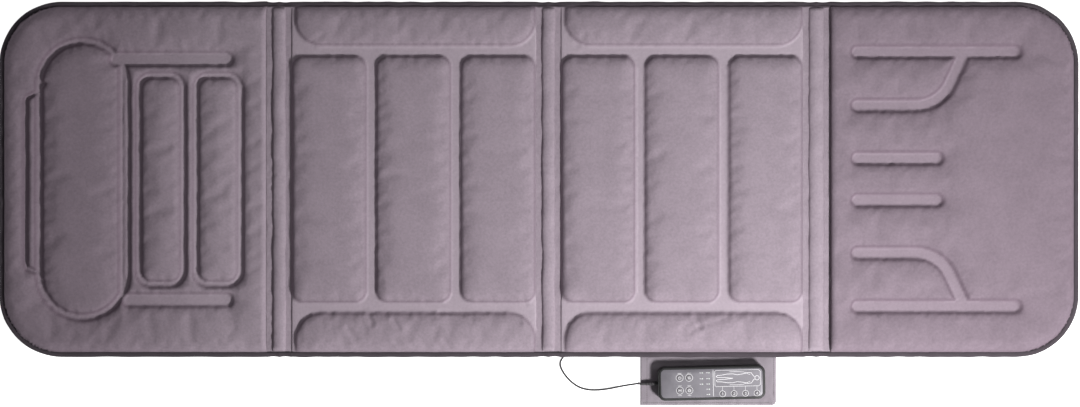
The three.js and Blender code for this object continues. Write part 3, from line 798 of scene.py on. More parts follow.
def cover_height(part, x, y, sizes):
    """The height in millimetres of a section's plush over each point."""
    away = CHANNELS[part.name](part, x, y)
    rim, ends = part.rim(x, y), part.ends(x)
    quilted = part.name in ("back", "seat")
    on_pad = (np.abs(y) < PADS_HALF) if quilted else np.zeros_like(x, bool)
    top = np.where(on_pad, sizes.pad_top, sizes.cushion_top) / MM
    floor = sizes.channel_floor / MM
    seed = sizes.seed + len(part.name)
    top = top + 0.45 * waves(x, y, 95, seed) + 0.25 * waves(x, y, 38, seed + 1)
    soft = 17.0 if quilted else 15.0
    shoulder = 0.78 * puff(away, soft) + 0.22 * ease(away, 0, 46)
    pucker = 0.7 * np.exp(-np.maximum(away, 0) / 7.0) * waves(x, y, 15, seed + 2)
    height = floor + (top - floor) * shoulder + pucker * (away > 0)
    height = height - 0.5 * np.exp(-((away - 2.2) / 1.4) ** 2)
    gather = 0.9 * np.exp(-np.maximum(rim - 9, 0) / 9.0) * waves(x, y, 17, seed + 3)
    height = height + gather
    for name, start, end, depth, half in CREASES:
        if name == part.name:
            near = line_away(x, y, *start, *end)
            lip = 0.45 * depth * np.exp(-((near - 2.2 * half) / half) ** 2)
            height = height - depth * np.exp(-(near / half) ** 2) + lip
    edge = puff(rim - TAPE_REACH, 20.0)
    fold = 0.25 + 0.75 * puff(ends, 9.0)
    return COVER_LOW + (height - COVER_LOW) * edge * fold


def refined(mesh, points):
    """The positions of a mesh with these vertex places after one subdivision, and its new mesh."""
    working = mesh.copy()
    set_positions(working, points)
    holder = bpy.data.objects.new("refining", working)
    bpy.context.scene.collection.objects.link(holder)
    smooth = holder.modifiers.new("smooth", "SUBSURF")
    smooth.levels = smooth.render_levels = 1
    smooth.boundary_smooth = "PRESERVE_CORNERS"
    finer = baked(holder).data
    bpy.data.objects.remove(holder)
    return finer


def cover_sheet(part, sizes):
    """The flat sheet of a cover, cut to the section's outline."""
    inset, cell = 5.0, sizes.cell / MM
    x0 = part.x0 + (0.4 if part.open_low else inset)
    x1 = part.x1 - (0.4 if part.open_high else inset)
    bm = grid(x0, x1, -HALF + inset, HALF - inset, cell)
    points = positions(bm)
    outside = part.rim(points[:, 0], points[:, 1]) - inset < -0.45 * cell
    bmesh.ops.delete(bm, geom=[v for v, out in zip(bm.verts[:], outside) if out], context="VERTS")
    drop_loose(bm)
    points = positions(bm)
    x, y = points[:, 0], points[:, 1]
    over = part.rim(x, y) - inset
    slope = np.stack([part.rim(x + 0.1, y) - part.rim(x - 0.1, y),
                      part.rim(x, y + 0.1) - part.rim(x, y - 0.1)], 1) * 5
    edge = np.array([v.is_boundary for v in bm.verts]) & (np.abs(over) < cell)
    points[edge, :2] -= (slope * over[:, None])[edge]
    set_positions(bm, points)
    return bm


class MASSAGEMAT_OT_covers(bpy.types.Operator):
    """The quilted plush covers of the four sections, settled by a cloth simulation"""

    bl_idname = "massage_mat.covers"
    bl_label = "Plush covers"

    def execute(self, context):
        sizes = context.scene.massage_mat_sizes
        parts = [section(name) for name in CHANNELS]
        loose = [self.start(part, sizes) for part in parts]
        self.settle(context, loose)
        for part, sheet in zip(parts, loose):
            self.close(part, sheet, sizes)
        return {"FINISHED"}

    def start(self, part, sizes):
        """The cover's sheet at its first shape, its seams held by a vertex group."""
        bm = cover_sheet(part, sizes)
        points = positions(bm)
        x, y = points[:, 0].copy(), points[:, 1].copy()
        points[:, 2] = cover_height(part, x, y, sizes)
        set_positions(bm, points)
        mesh = bpy.data.meshes.new(part.name + "_sheet")
        bm.to_mesh(mesh)
        bm.free()
        set_positions(mesh, to_frame(points))
        sheet = bpy.data.objects.new(part.name + "_sheet", mesh)
        bpy.context.scene.collection.objects.link(sheet)
        away = CHANNELS[part.name](part, x, y)
        held = 1 - np.minimum(ease(away, 3, 9), np.minimum(ease(part.rim(x, y), 12, 20),
                                                          ease(part.ends(x), 4, 10)))
        seams = sheet.vertex_groups.new(name="seams")
        least = 0.02
        for index, weight in enumerate(held):
            if weight > least:
                seams.add([index], float(weight), "REPLACE")
        return sheet

    def settle(self, context, sheets):
        """Lets the filling push the sheets out and crumple them a little."""
        sizes = context.scene.massage_mat_sizes
        last = 20
        starts = [positions(sheet.data) for sheet in sheets]
        for sheet in sheets:
            cloth = sheet.modifiers.new("settling", "CLOTH")
            cloth.settings.quality = 4
            cloth.settings.mass = 0.25
            cloth.settings.tension_stiffness = cloth.settings.compression_stiffness = 12
            cloth.settings.shear_stiffness = 5
            cloth.settings.bending_stiffness = 6.0
            cloth.settings.vertex_group_mass = "seams"
            cloth.settings.pin_stiffness = 1.0
            cloth.settings.shrink_min = -0.006
            cloth.settings.use_pressure = True
            cloth.settings.uniform_pressure_force = sizes.pressure
            cloth.settings.effector_weights.gravity = 0.0
            cloth.collision_settings.use_collision = False
            cloth.collision_settings.use_self_collision = False
            cloth.point_cache.frame_start, cloth.point_cache.frame_end = 1, last
        for step in range(1, last + 1):
            context.scene.frame_set(step)
        graph = context.evaluated_depsgraph_get()
        for sheet, start in zip(sheets, starts):
            moved = positions(sheet.evaluated_get(graph).data) - start
            size = np.linalg.norm(moved, axis=1, keepdims=True)
            moved *= np.minimum(1, sizes.swell / np.maximum(size, 1e-9))
            sheet.modifiers.clear()
            set_positions(sheet.data, start + moved)
        context.scene.frame_set(1)

    def close(self, part, sheet, sizes):
        """The refined cover with its backing, crisp in its seams again."""
        points = positions(sheet.data)
        plan = positions(cover_sheet_mesh(part, sizes))
        flat = to_frame(np.column_stack([plan[:, :2], cover_height(part, plan[:, 0], plan[:, 1], sizes)]))
        fine = refined(sheet.data, np.column_stack([plan[:, :2], plan[:, 0] * 0]))
        shift = positions(refined(sheet.data, (points - flat) / MM))
        at = positions(fine)
        x, y = at[:, 0], at[:, 1]
        shape = np.column_stack([x, y, cover_height(part, x, y, sizes)]) + shift
        shape[:, 2] = self.flattened(shape[:, 2], sizes)
        bm = bmesh.new()
        bm.from_mesh(fine)
        set_positions(bm, shape)
        bm.normal_update()
        bmesh.ops.solidify(bm, geom=bm.faces[:], thickness=sizes.cover_sheet / MM)
        cover = piece(part.name + "_plush_cover", bm, [material("plush")])
        bpy.data.objects.remove(sheet)
        self.mark_pressed(part, cover)
        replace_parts(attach(cover, part.name), part.name + "_top_cover")

    def flattened(self, height, sizes):
        """Levels the tops of the pads, so that two folded sections lie on each other."""
        below, room = 1.2, 1.7
        start = sizes.pad_top / MM - below
        over = np.maximum(height - start, 0)
        return np.minimum(height, start) + room * (1 - np.exp(-over / room))

    def mark_pressed(self, part, cover):
        """Stores where the pile is pressed flat, and painted shade: darker at the head's outer end, over
        the leg, along the seams and near the bound edge.
        """
        at = positions(cover.data) / MM - np.array([0, MID_Y, 0])
        away = CHANNELS[part.name](part, at[:, 0], at[:, 1])
        share = {"head": 0.35, "back": 0.65, "seat": 0.72, "leg": 0.5}[part.name]
        pressed = share * (1 - ease(away, -0.5, 3.5))
        along = (at[:, 0] - part.x0) / (part.x1 - part.x0)
        # Painted shade: the head darkens towards its outer end, the back towards the head, and the whole
        # leg is darker, most at its outer end.
        laid = {"head": 0.5 * (1 - ease(along, 0.3, 0.95)), "back": 0.1 * (1 - along),
                "seat": 0.0 * along, "leg": 0.52 + 0.16 * along}[part.name]
        # Painted shade along each seam and inside the rims of the pads.
        seam_shade = 0.5 * np.exp(-((away - 2.6) / 2.0) ** 2) + 0.12 * np.exp(-np.maximum(away, 0) / 14)
        # Painted shade near the bound edge.
        rim = 0.25 * np.exp(-np.maximum(part.rim(at[:, 0], at[:, 1]) - 9, 0) / 6)
        laid = np.clip(laid + seam_shade * (away > -0.5) + rim, 0, 1)
        for name, values in (("pressed", pressed), ("laid", laid)):
            mark = cover.data.attributes.new(name, "FLOAT", "POINT")
            mark.data.foreach_set("value", values.astype(np.float32))


def cover_sheet_mesh(part, sizes):
    """The cover's flat sheet as a mesh."""
    bm = cover_sheet(part, sizes)
    mesh = bpy.data.meshes.new(part.name + "_plan")
    bm.to_mesh(mesh)
    bm.free()
    return mesh


# ---- underside ----


def end_radii(part):
    """The corner radii of a section's low-X and high-X ends at its bound edge."""
    return (0 if part.open_low else CORNER, 0 if part.open_high else CORNER)


def inset_plate(part, inset, z):
    """The section's outline drawn in by inset at that height."""
    end_gap = 0.3
    x0 = part.x0 + (end_gap if part.open_low else inset)
    x1 = part.x1 - (end_gap if part.open_high else inset)
    radii = [max(0, r - inset) for r in end_radii(part)]
    return round_plate(x0, x1, -HALF + inset, HALF - inset, radii, z, 14)


# the tray: its floor's height, its thickness, and how far each step of its wall rises and flares out
TRAY_FLOOR = 0.6
TRAY_SHEET = 1.2
WALL_STEPS = ((7.9, 0.0), (1.2, 1.6), (2.0, 0.0))
STUD_MARGIN = 18
STUD_ROWS = 43
STUD_SHARE = 0.28


class MASSAGEMAT_OT_base_cloths(bpy.types.Operator):
    """The underside tray of each section with its grip studs"""

    bl_idname = "massage_mat.base_cloths"
    bl_label = "Base cloths"

    def execute(self, context):
        pitch = context.scene.massage_mat_sizes.grip_pitch / MM
        for name in CHANNELS:
            part = section(name)
            bm = inset_plate(part, WALL_INSET, TRAY_FLOOR)
            rim = [e for e in bm.edges if e.is_boundary]
            for lift, out in WALL_STEPS:
                made = bmesh.ops.extrude_edge_only(bm, edges=rim)["geom"]
                rim = [g for g in made if isinstance(g, bmesh.types.BMEdge)]
                verts = [g for g in made if isinstance(g, bmesh.types.BMVert)]
                self.flare(part, verts, lift, out)
            bmesh.ops.recalc_face_normals(bm, faces=bm.faces)
            bottom = max(bm.faces, key=lambda f: f.calc_area())
            if bottom.normal.z > 0:
                bmesh.ops.reverse_faces(bm, faces=bm.faces)
            bm.normal_update()
            round_edges(bm, edges_at(bm, TRAY_FLOOR), 3.0, 3)
            bmesh.ops.solidify(bm, geom=bm.faces[:], thickness=TRAY_SHEET)
            cloth = piece(name + "_underside_cloth", bm, [material("base")])
            sharpen(cloth, 50)
            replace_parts(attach(cloth, name), name + "_base_cloth")
            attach(self.studs(part, pitch), name)
        return {"FINISHED"}

    def flare(self, part, verts, lift, out):
        """Lifts the rim and spreads its bound sides outwards."""
        points = np.array([v.co for v in verts])
        x, y = points[:, 0], points[:, 1]
        slope_x = (part.rim(x + 0.1, y) - part.rim(x - 0.1, y)) * 5
        slope_y = (part.rim(x, y + 0.1) - part.rim(x, y - 0.1)) * 5
        for vert, dx, dy in zip(verts, slope_x, slope_y):
            vert.co += Vector((-dx * out, -dy * out, lift))

    def studs(self, part, pitch):
        """Rows of small rubbery studs that stop the mat from sliding."""
        x0 = part.x0 + STUD_MARGIN
        cells_x = round((part.x1 - STUD_MARGIN - x0) / pitch)
        half = STUD_ROWS / 2 * pitch
        bm = grid(x0, x0 + cells_x * pitch, -half, half, pitch)
        bmesh.ops.inset_individual(bm, faces=bm.faces[:], thickness=pitch * (1 - STUD_SHARE) / 2,
                                   use_even_offset=True)
        keep = []
        for face in bm.faces:
            middle = face.calc_center_median()
            small = face.calc_area() < (pitch * 0.4) ** 2 and len(face.verts) == 4
            square = small and max(abs(e.calc_length() - pitch * STUD_SHARE) for e in face.edges) < 0.1
            inside = part.rim(np.array([middle.x]), np.array([middle.y]))[0] > 20
            if square and inside:
                keep.append(face)
        kept = set(keep)
        bmesh.ops.delete(bm, geom=[f for f in bm.faces if f not in kept], context="FACES")
        bmesh.ops.translate(bm, vec=(0, 0, TRAY_FLOOR + 0.05), verts=bm.verts)
        raised = bmesh.ops.extrude_discrete_faces(bm, faces=bm.faces[:])["faces"]
        bmesh.ops.translate(bm, vec=(0, 0, -TRAY_FLOOR), verts=list({v for f in raised for v in f.verts}))
        for face in raised:
            middle = face.calc_center_median()
            for vert in face.verts:
                vert.co = middle + (vert.co - middle) * 0.7
        bmesh.ops.holes_fill(bm, edges=bm.edges, sides=4)
        bmesh.ops.recalc_face_normals(bm, faces=bm.faces)
        return piece(part.name + "_grip_studs", bm, [material("grip")], smooth=False)


# ---- edge binding ----


# the tape's cross-section: how far inwards and how far above its middle each corner lies
TAPE_SHAPE = [(0.2, 2.2), (1.6, 3.6), (4.5, 4.0), (7.6, 3.5), (8.8, 2.6), (8.9, -2.6), (7.6, -3.5),
              (4.5, -4.0), (1.6, -3.6), (0.2, -2.2), (-0.1, 0.0)]


def tape_profile(bm, x, y, facing):
    """The tape's closed cross-section, standing at a point of the outer edge."""
    middle = Vector((x, y, (BINDING_LOW + BINDING_HIGH) / 2))
    verts = [bm.verts.new(middle + facing * inwards + Vector((0, 0, up))) for inwards, up in TAPE_SHAPE]
    return bm.faces.new(verts)


def run_straight(bm, face, run, steps):
    """Draws the tape's end face along a straight run."""
    for _ in range(steps):
        made = bmesh.ops.extrude_discrete_faces(bm, faces=[face])
        face = made["faces"][0]
        bmesh.ops.translate(bm, vec=run / steps, verts=face.verts)
    return face


def run_round(bm, face, centre, steps):
    """Turns the tape's end face a quarter round a corner."""
    for _ in range(steps):
        made = bmesh.ops.extrude_discrete_faces(bm, faces=[face])
        face = made["faces"][0]
        bmesh.ops.rotate(bm, cent=centre, matrix=Matrix.Rotation(math.pi / 2 / steps, 3, "Z"),
                         verts=face.verts)
    return face


def ripple(bm, seed, uneven=0.35):
    """Makes a tape lie a little unevenly, up and down and from side to side."""
    points = positions(bm)
    x, y = points[:, 0], points[:, 1]
    points[:, 2] += uneven * waves(x, y, 24, seed)
    points[:, 1] += uneven * waves(x, y, 42, seed + 1)
    set_positions(bm, points)


def zigzag(bm, path, pitch):
    """Sews a zigzag along a path of (x, y, inward x, inward y) points on the tape."""
    points = np.array([p[:2] for p in path])
    inward = np.array([p[2:] for p in path])
    along = np.concatenate([[0], np.cumsum(np.linalg.norm(np.diff(points, axis=0), axis=1))])
    near, swing, slope, thread = 6.4, 1.1, 0.12, 0.55
    stops = np.arange(0, along[-1], pitch / 2)
    at = np.stack([np.interp(stops, along, points[:, i]) for i in range(2)], 1)
    turn = np.stack([np.interp(stops, along, inward[:, i]) for i in range(2)], 1)
    inset = near + swing * (np.arange(len(stops)) % 2)
    sewn = at + turn * inset[:, None]
    top = BINDING_HIGH - 0.02 - (inset - 5.2) * slope
    for a, b, low, high in zip(sewn, sewn[1:], top, top[1:]):
        bar(bm, (*a, low), (*b, high), thread, 0.5, 1)


def tape_path(part, side=None):
    """Points along the outer edge of a section with their inward directions."""
    if part.open_low and part.open_high:
        return [(part.x0, side * HALF, 0, -side), (part.x1, side * HALF, 0, -side)]
    away = -1 if part.open_high else 1
    end = part.x0 if part.open_high else part.x1
    open_end = part.x1 if part.open_high else part.x0
    path = [(open_end, HALF, 0, -1)]
    for quarter in (0, 1):
        cy = (HALF - CORNER) * (1 - 2 * quarter)
        for i in range(17):
            angle = math.pi / 2 * (i / 16 + quarter)
            dx, dy = away * math.sin(angle), math.cos(angle)
            path.append((end - away * CORNER + CORNER * dx, cy + CORNER * dy, -dx, -dy))
    path.append((open_end, -HALF, 0, 1))
    return path


class MASSAGEMAT_OT_binding(bpy.types.Operator):
    """The edge tape of every section with its zigzag stitch"""

    bl_idname = "massage_mat.binding"
    bl_label = "Edge binding"

    def execute(self, context):
        sizes = context.scene.massage_mat_sizes
        for name in CHANNELS:
            part = section(name)
            if part.open_low and part.open_high:
                for side, hand in ((1, "left"), (-1, "right")):
                    bm = bmesh.new()
                    face = tape_profile(bm, part.x0, side * HALF, Vector((0, -side, 0)))
                    run_straight(bm, face, Vector((part.x1 - part.x0, 0, 0)), 60)
                    self.finish_tape(bm, part, side, f"{name}_binding_{hand}", sizes)
            else:
                self.finish_tape(self.bent_tape(part), part, None, name + "_binding", sizes)
        return {"FINISHED"}

    def bent_tape(self, part):
        """The tape round an end section, from fold to fold."""
        bm = bmesh.new()
        away = 1 if part.open_high else -1
        open_end = part.x1 if part.open_high else part.x0
        corner = part.x0 + CORNER if part.open_high else part.x1 - CORNER
        straight = Vector((corner - open_end, 0, 0))
        face = tape_profile(bm, open_end, away * HALF, Vector((0, -away, 0)))
        face = run_straight(bm, face, straight, 50)
        face = run_round(bm, face, (corner, away * (HALF - CORNER), 0), 20)
        face = run_straight(bm, face, Vector((0, -away * 2 * (HALF - CORNER), 0)), 56)
        face = run_round(bm, face, (corner, -away * (HALF - CORNER), 0), 20)
        run_straight(bm, face, -straight, 50)
        return bm

    def finish_tape(self, bm, part, side, node, sizes):
        """Ripples, sews and places a section's tape."""
        bmesh.ops.recalc_face_normals(bm, faces=bm.faces)
        ripple(bm, sizes.seed + int(part.x1) % 7)
        zigzag(bm, tape_path(part, side), sizes.stitch_pitch / MM)
        tape = piece(node.replace("binding", "edge_tape"), bm, [material("binding"), material("thread")])
        sharpen(tape, 60)
        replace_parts(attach(tape, part.name), node)


# ---- folds ----


RIDGE_INSET = 8.5
BAND_TUCK = 1.2


class MASSAGEMAT_OT_folds(bpy.types.Operator):
    """The fold bands: a flat cloth, a padded ridge along its middle and tape on its ends"""

    bl_idname = "massage_mat.folds"
    bl_label = "Fold bands"

    def execute(self, context):
        sizes = context.scene.massage_mat_sizes
        for fold, (low, high) in FOLDS.items():
            x0, x1 = section(low).x1, section(high).x0
            web = fold + "_web"
            middle = (x0 + x1) / 2
            for body, end, way in ((low, x0, 1), (high, x1, -1)):
                tucked = end - way * BAND_TUCK
                cloth = self.half_band(tucked, middle, f"{fold}_fold_cloth_{body}_side", sizes.seed)
                tape = self.half_tape(end, middle, f"{fold}_fold_tape_{body}_side", sizes)
                for part in (cloth, tape):
                    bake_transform(part)
            ridge = self.ridge(fold, x0 + RIDGE_INSET, x1 - RIDGE_INSET, sizes)
            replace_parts(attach(ridge, web), fold + "_fold_web")
            if fold != "middle":
                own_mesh(ridge)
        return {"FINISHED"}

    def half_band(self, end, middle, name, seed):
        """Half of the flat cloth, from under a section's cover to the middle of the band."""
        low, high = sorted((end, middle))
        bm = grid(low, high, -HALF + 4, HALF - 4, 1.2, 7.0)
        bmesh.ops.translate(bm, vec=(0, 0, WEB_HIGH), verts=bm.verts)
        points = positions(bm)
        x, y = points[:, 0], points[:, 1]
        slack = puff(np.abs(x - end), 9.0) * puff(np.abs(x - middle) + 1, 8.0)
        points[:, 2] += 0.45 * slack * waves(x * 0.5, y, 30, seed + 5) - 0.3 * slack
        set_positions(bm, points)
        bm.normal_update()
        bmesh.ops.solidify(bm, geom=bm.faces[:], thickness=WEB_HIGH - WEB_LOW)
        return piece(name, bm, [material("band")])

    def half_tape(self, end, middle, name, sizes):
        """The two short tapes on the ends of that half."""
        bm = bmesh.new()
        for side in (1, -1):
            face = tape_profile(bm, end, side * HALF, Vector((0, -side, 0)))
            run_straight(bm, face, Vector((middle - end, 0, 0)), 16)
        bmesh.ops.recalc_face_normals(bm, faces=bm.faces)
        points = positions(bm)
        pinch = np.sin(np.clip((points[:, 0] - end) / (middle - end), 0, 1) * math.pi) * 0.5
        points[:, 2] = FOLD_HEIGHT + (points[:, 2] - FOLD_HEIGHT) * (1 - 0.5 * pinch)
        points[:, 1] -= np.sign(points[:, 1]) * pinch * 2.0
        set_positions(bm, points)
        for side in (1, -1):
            path = [(end, side * HALF, 0, -side), (middle, side * HALF, 0, -side)]
            zigzag(bm, path, sizes.stitch_pitch / MM)
        tape = piece(name, bm, [material("binding"), material("thread")])
        sharpen(tape, 60)
        return tape

    def ridge(self, fold, x0, x1, sizes):
        """The stuffed ridge along the band."""
        reach = HALF - 9
        bm = grid(x0, x1, -reach, reach, 1.6, 3.2)
        points = positions(bm)
        x, y = points[:, 0], points[:, 1]
        side = np.minimum(x - x0, x1 - x)
        half = (x1 - x0) / 2
        seed = sizes.seed + 20 + len(fold)
        rise = sizes.ridge_rise / MM * (1 + 0.10 * waves(x * 0.3, y, 46, seed))
        tuck = 0.6 * waves(x * 0.2, y, 13, seed + 1) * np.exp(-side / 4.0)
        ends = puff(np.minimum(y + reach, reach - y), 7.0)
        points[:, 2] = WEB_HIGH - 0.5 + (rise * puff(side, half) + tuck * (side > 0.1)) * ends
        points[:, 0] += 0.5 * waves(x * 0, y, 70, seed + 2)
        set_positions(bm, points)
        bm.normal_update()
        rim = [e for e in bm.edges if e.is_boundary]
        made = bmesh.ops.extrude_edge_only(bm, edges=rim)["geom"]
        lower = [g for g in made if isinstance(g, bmesh.types.BMVert)]
        bmesh.ops.translate(bm, vec=(0, 0, -0.6), verts=lower)
        bmesh.ops.holes_fill(bm, edges=[e for e in bm.edges if e.is_boundary], sides=0)
        bmesh.ops.recalc_face_normals(bm, faces=bm.faces)
        ridge = piece(fold + "_fold_ridge", bm, [material("band")])
        sharpen(ridge, 60)
        return ridge


# ---- side pocket ----


POCKET_SHEET = 0.7
HEM = 10.5


class MASSAGEMAT_OT_pocket(bpy.types.Operator):
    """The side pocket: back and front cloth, hem and seams"""

    bl_idname = "massage_mat.pocket"
    bl_label = "Side pocket"

    def execute(self, context):
        low, high = box_of("pocket_front_panel")
        x0, x1, y0, y1 = low.x, high.x, low.y, high.y
        back = grid(x0 + 1, x1, y0, y1, 5.0)
        self.round_corners(back, x1, y0)
        bmesh.ops.translate(back, vec=(0, 0, 1.1), verts=back.verts)
        bmesh.ops.solidify(back, geom=back.faces[:], thickness=POCKET_SHEET)
        cloth = piece("pocket_back_cloth", back, [material("lining")])
        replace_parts(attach(cloth, "seat"), "pocket_back_panel")
        front = self.front(x0, x1, y0, y1)
        trim = self.seams(x0, x1, y0, y1)
        for part in (front, trim):
            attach(part, "seat")
        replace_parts(front, "pocket_front_panel")
        return {"FINISHED"}

    def lift(self, x, y, x0, x1, y0, y1):
        """The height of the front cloth over a point of the pocket."""
        sewn = np.minimum(np.minimum(x1 - x, y - y0), (y1 - y) + 3.0)
        seed = bpy.context.scene.massage_mat_sizes.seed + 40
        loose = puff(sewn - 1.5, 16.0)
        pull = 0.55 * np.exp(-np.maximum(sewn, 0) / 9.0) * waves(x, y, 13, seed)
        sag = 0.3 * waves(x, y, 60, seed + 1) * loose
        corner = np.hypot(x1 - x, y - y0)
        fan = 0.5 * np.sin(np.arctan2(y - y0, x1 - x + 0.01) * 14) * np.exp(-((corner - 16) / 13) ** 2)
        hem = 0.35 * np.exp(-((x - x0 - HEM) / 1.2) ** 2)
        body = 4.6 * loose * (0.82 + 0.18 * ease(x1 - x, 0, 90))
        return np.clip(2.3 + body + pull + sag + fan - hem, 2.0, 7.45)

    def front(self, x0, x1, y0, y1):
        """The front cloth, held down along its seams and open at the mouth."""
        bm = grid(x0, x1, y0, y1, 2.4)
        self.round_corners(bm, x1, y0)
        points = positions(bm)
        points[:, 2] = self.lift(points[:, 0], points[:, 1], x0, x1, y0, y1)
        set_positions(bm, points)
        bm.normal_update()
        bmesh.ops.solidify(bm, geom=bm.faces[:], thickness=POCKET_SHEET)
        return piece("pocket_front_cloth", bm, [material("pocket")])

    def round_corners(self, bm, x1, y0):
        """Draws the pocket's free corner in to a small radius."""
        radius = 7.0
        for vert, (x, y, _) in zip(bm.verts, positions(bm)):
            dx, dy = x - (x1 - radius), (y0 + radius) - y
            if dx > 0 and dy > 0:
                share = max(dx, dy) / math.hypot(dx, dy)
                vert.co.x, vert.co.y = x1 - radius + dx * share, y0 + radius - dy * share

    def seams(self, x0, x1, y0, y1):
        """The stitches of the mouth's hem and of the two outer seams."""
        bm = bmesh.new()
        spacing, stitch = 3.2, 2.2
        mouth = [np.array((x0 + HEM, y)) for y in np.arange(y1 - 12, y0 + 3, -spacing)]
        edge = [np.array((x, y0 + 4.0)) for x in np.arange(x0 + 4, x1 - 8, spacing)]
        side = [np.array((x1 - 4.0, y)) for y in np.arange(y0 + 9, y1 - 10, spacing)]
        for row in (mouth, edge, side):
            way = (row[1] - row[0]) / np.linalg.norm(row[1] - row[0])
            for at in row:
                a, b = at, at + way * stitch
                za, zb = (float(self.lift(*p.reshape(2, 1), x0, x1, y0, y1)[0]) + 0.1 for p in (a, b))
                bar(bm, (*a, za), (*b, zb), 0.5, 0.4)
        return piece("pocket_stitches", bm, [material("thread")])


# ---- hand control ----

KEY_SIGNS = {"power_key": (-50.3, 9.1), "heat_key": (-35.5, 9.1), "mode_key": (-50.3, -10.7),
             "speed_key": (-35.5, -10.7)}
ZONE_KEYS = [(16.5 + 18.0 * i, -17.2) for i in range(4)]
LAMPS = [(-14.6, 16.3), (-14.6, 7.1), (-14.6, -1.3), (-4.2, 16.3), (-4.2, 7.1), (-4.2, -1.3),
         (-4.2, -9.4), (-4.2, -17.6)]
CONTROL_HALF = (84.0, 26.5)
CONTROL_CORNER = 11.0
MODE_RADIUS, ZONE_RADIUS = 4.7, 3.8
KEY_PLAY = 0.35
SPLIT = 10.0
SHELL_ROUNDING = 2.4
FACE_TOP = 20.0
KEY_FOOT, KEY_FLANGE_TOP, KEY_TOP = 13.7, 14.9, 20.8


def handset_turn():
    """From the hand control's own millimetres to the mat's."""
    return Matrix.Translation(HANDSET_AT) @ Matrix.Rotation(HANDSET_TURN, 4, "Z")


def handset_plate(inset, z0, z1):
    """A solid plate of the hand control's outline, drawn in by inset."""
    x, y, radius = CONTROL_HALF[0] - inset, CONTROL_HALF[1] - inset, CONTROL_CORNER - inset
    return raise_plate(round_plate(-x, x, -y, y, (radius, radius), z0, 10), z1 - z0)


def stroke(bm, points, width, z, mat_index=0):
    """A printed line through these points, its round joints a hair proud so that no two tops meet."""
    for count, (a, b) in enumerate(zip(points, points[1:])):
        level = z + 0.006 * (count % 2)
        bar(bm, (*a, level), (*b, level), width, 0.07, mat_index)
    closed = math.dist(points[0], points[-1]) < 1e-6
    for count, (x, y) in enumerate(points[1:] if closed else points):
        joint = disc(bm, x, y, z - 0.035, z + 0.05 + 0.006 * (count % 3), width / 2, 8)
        for face in {f for v in joint for f in v.link_faces}:
            face.material_index = mat_index


def arc(x, y, radius, start, end, steps):
    """Points along part of a circle, angles in degrees."""
    angles = [math.radians(start + (end - start) * i / steps) for i in range(steps + 1)]
    return [(x + radius * math.cos(a), y + radius * math.sin(a)) for a in angles]


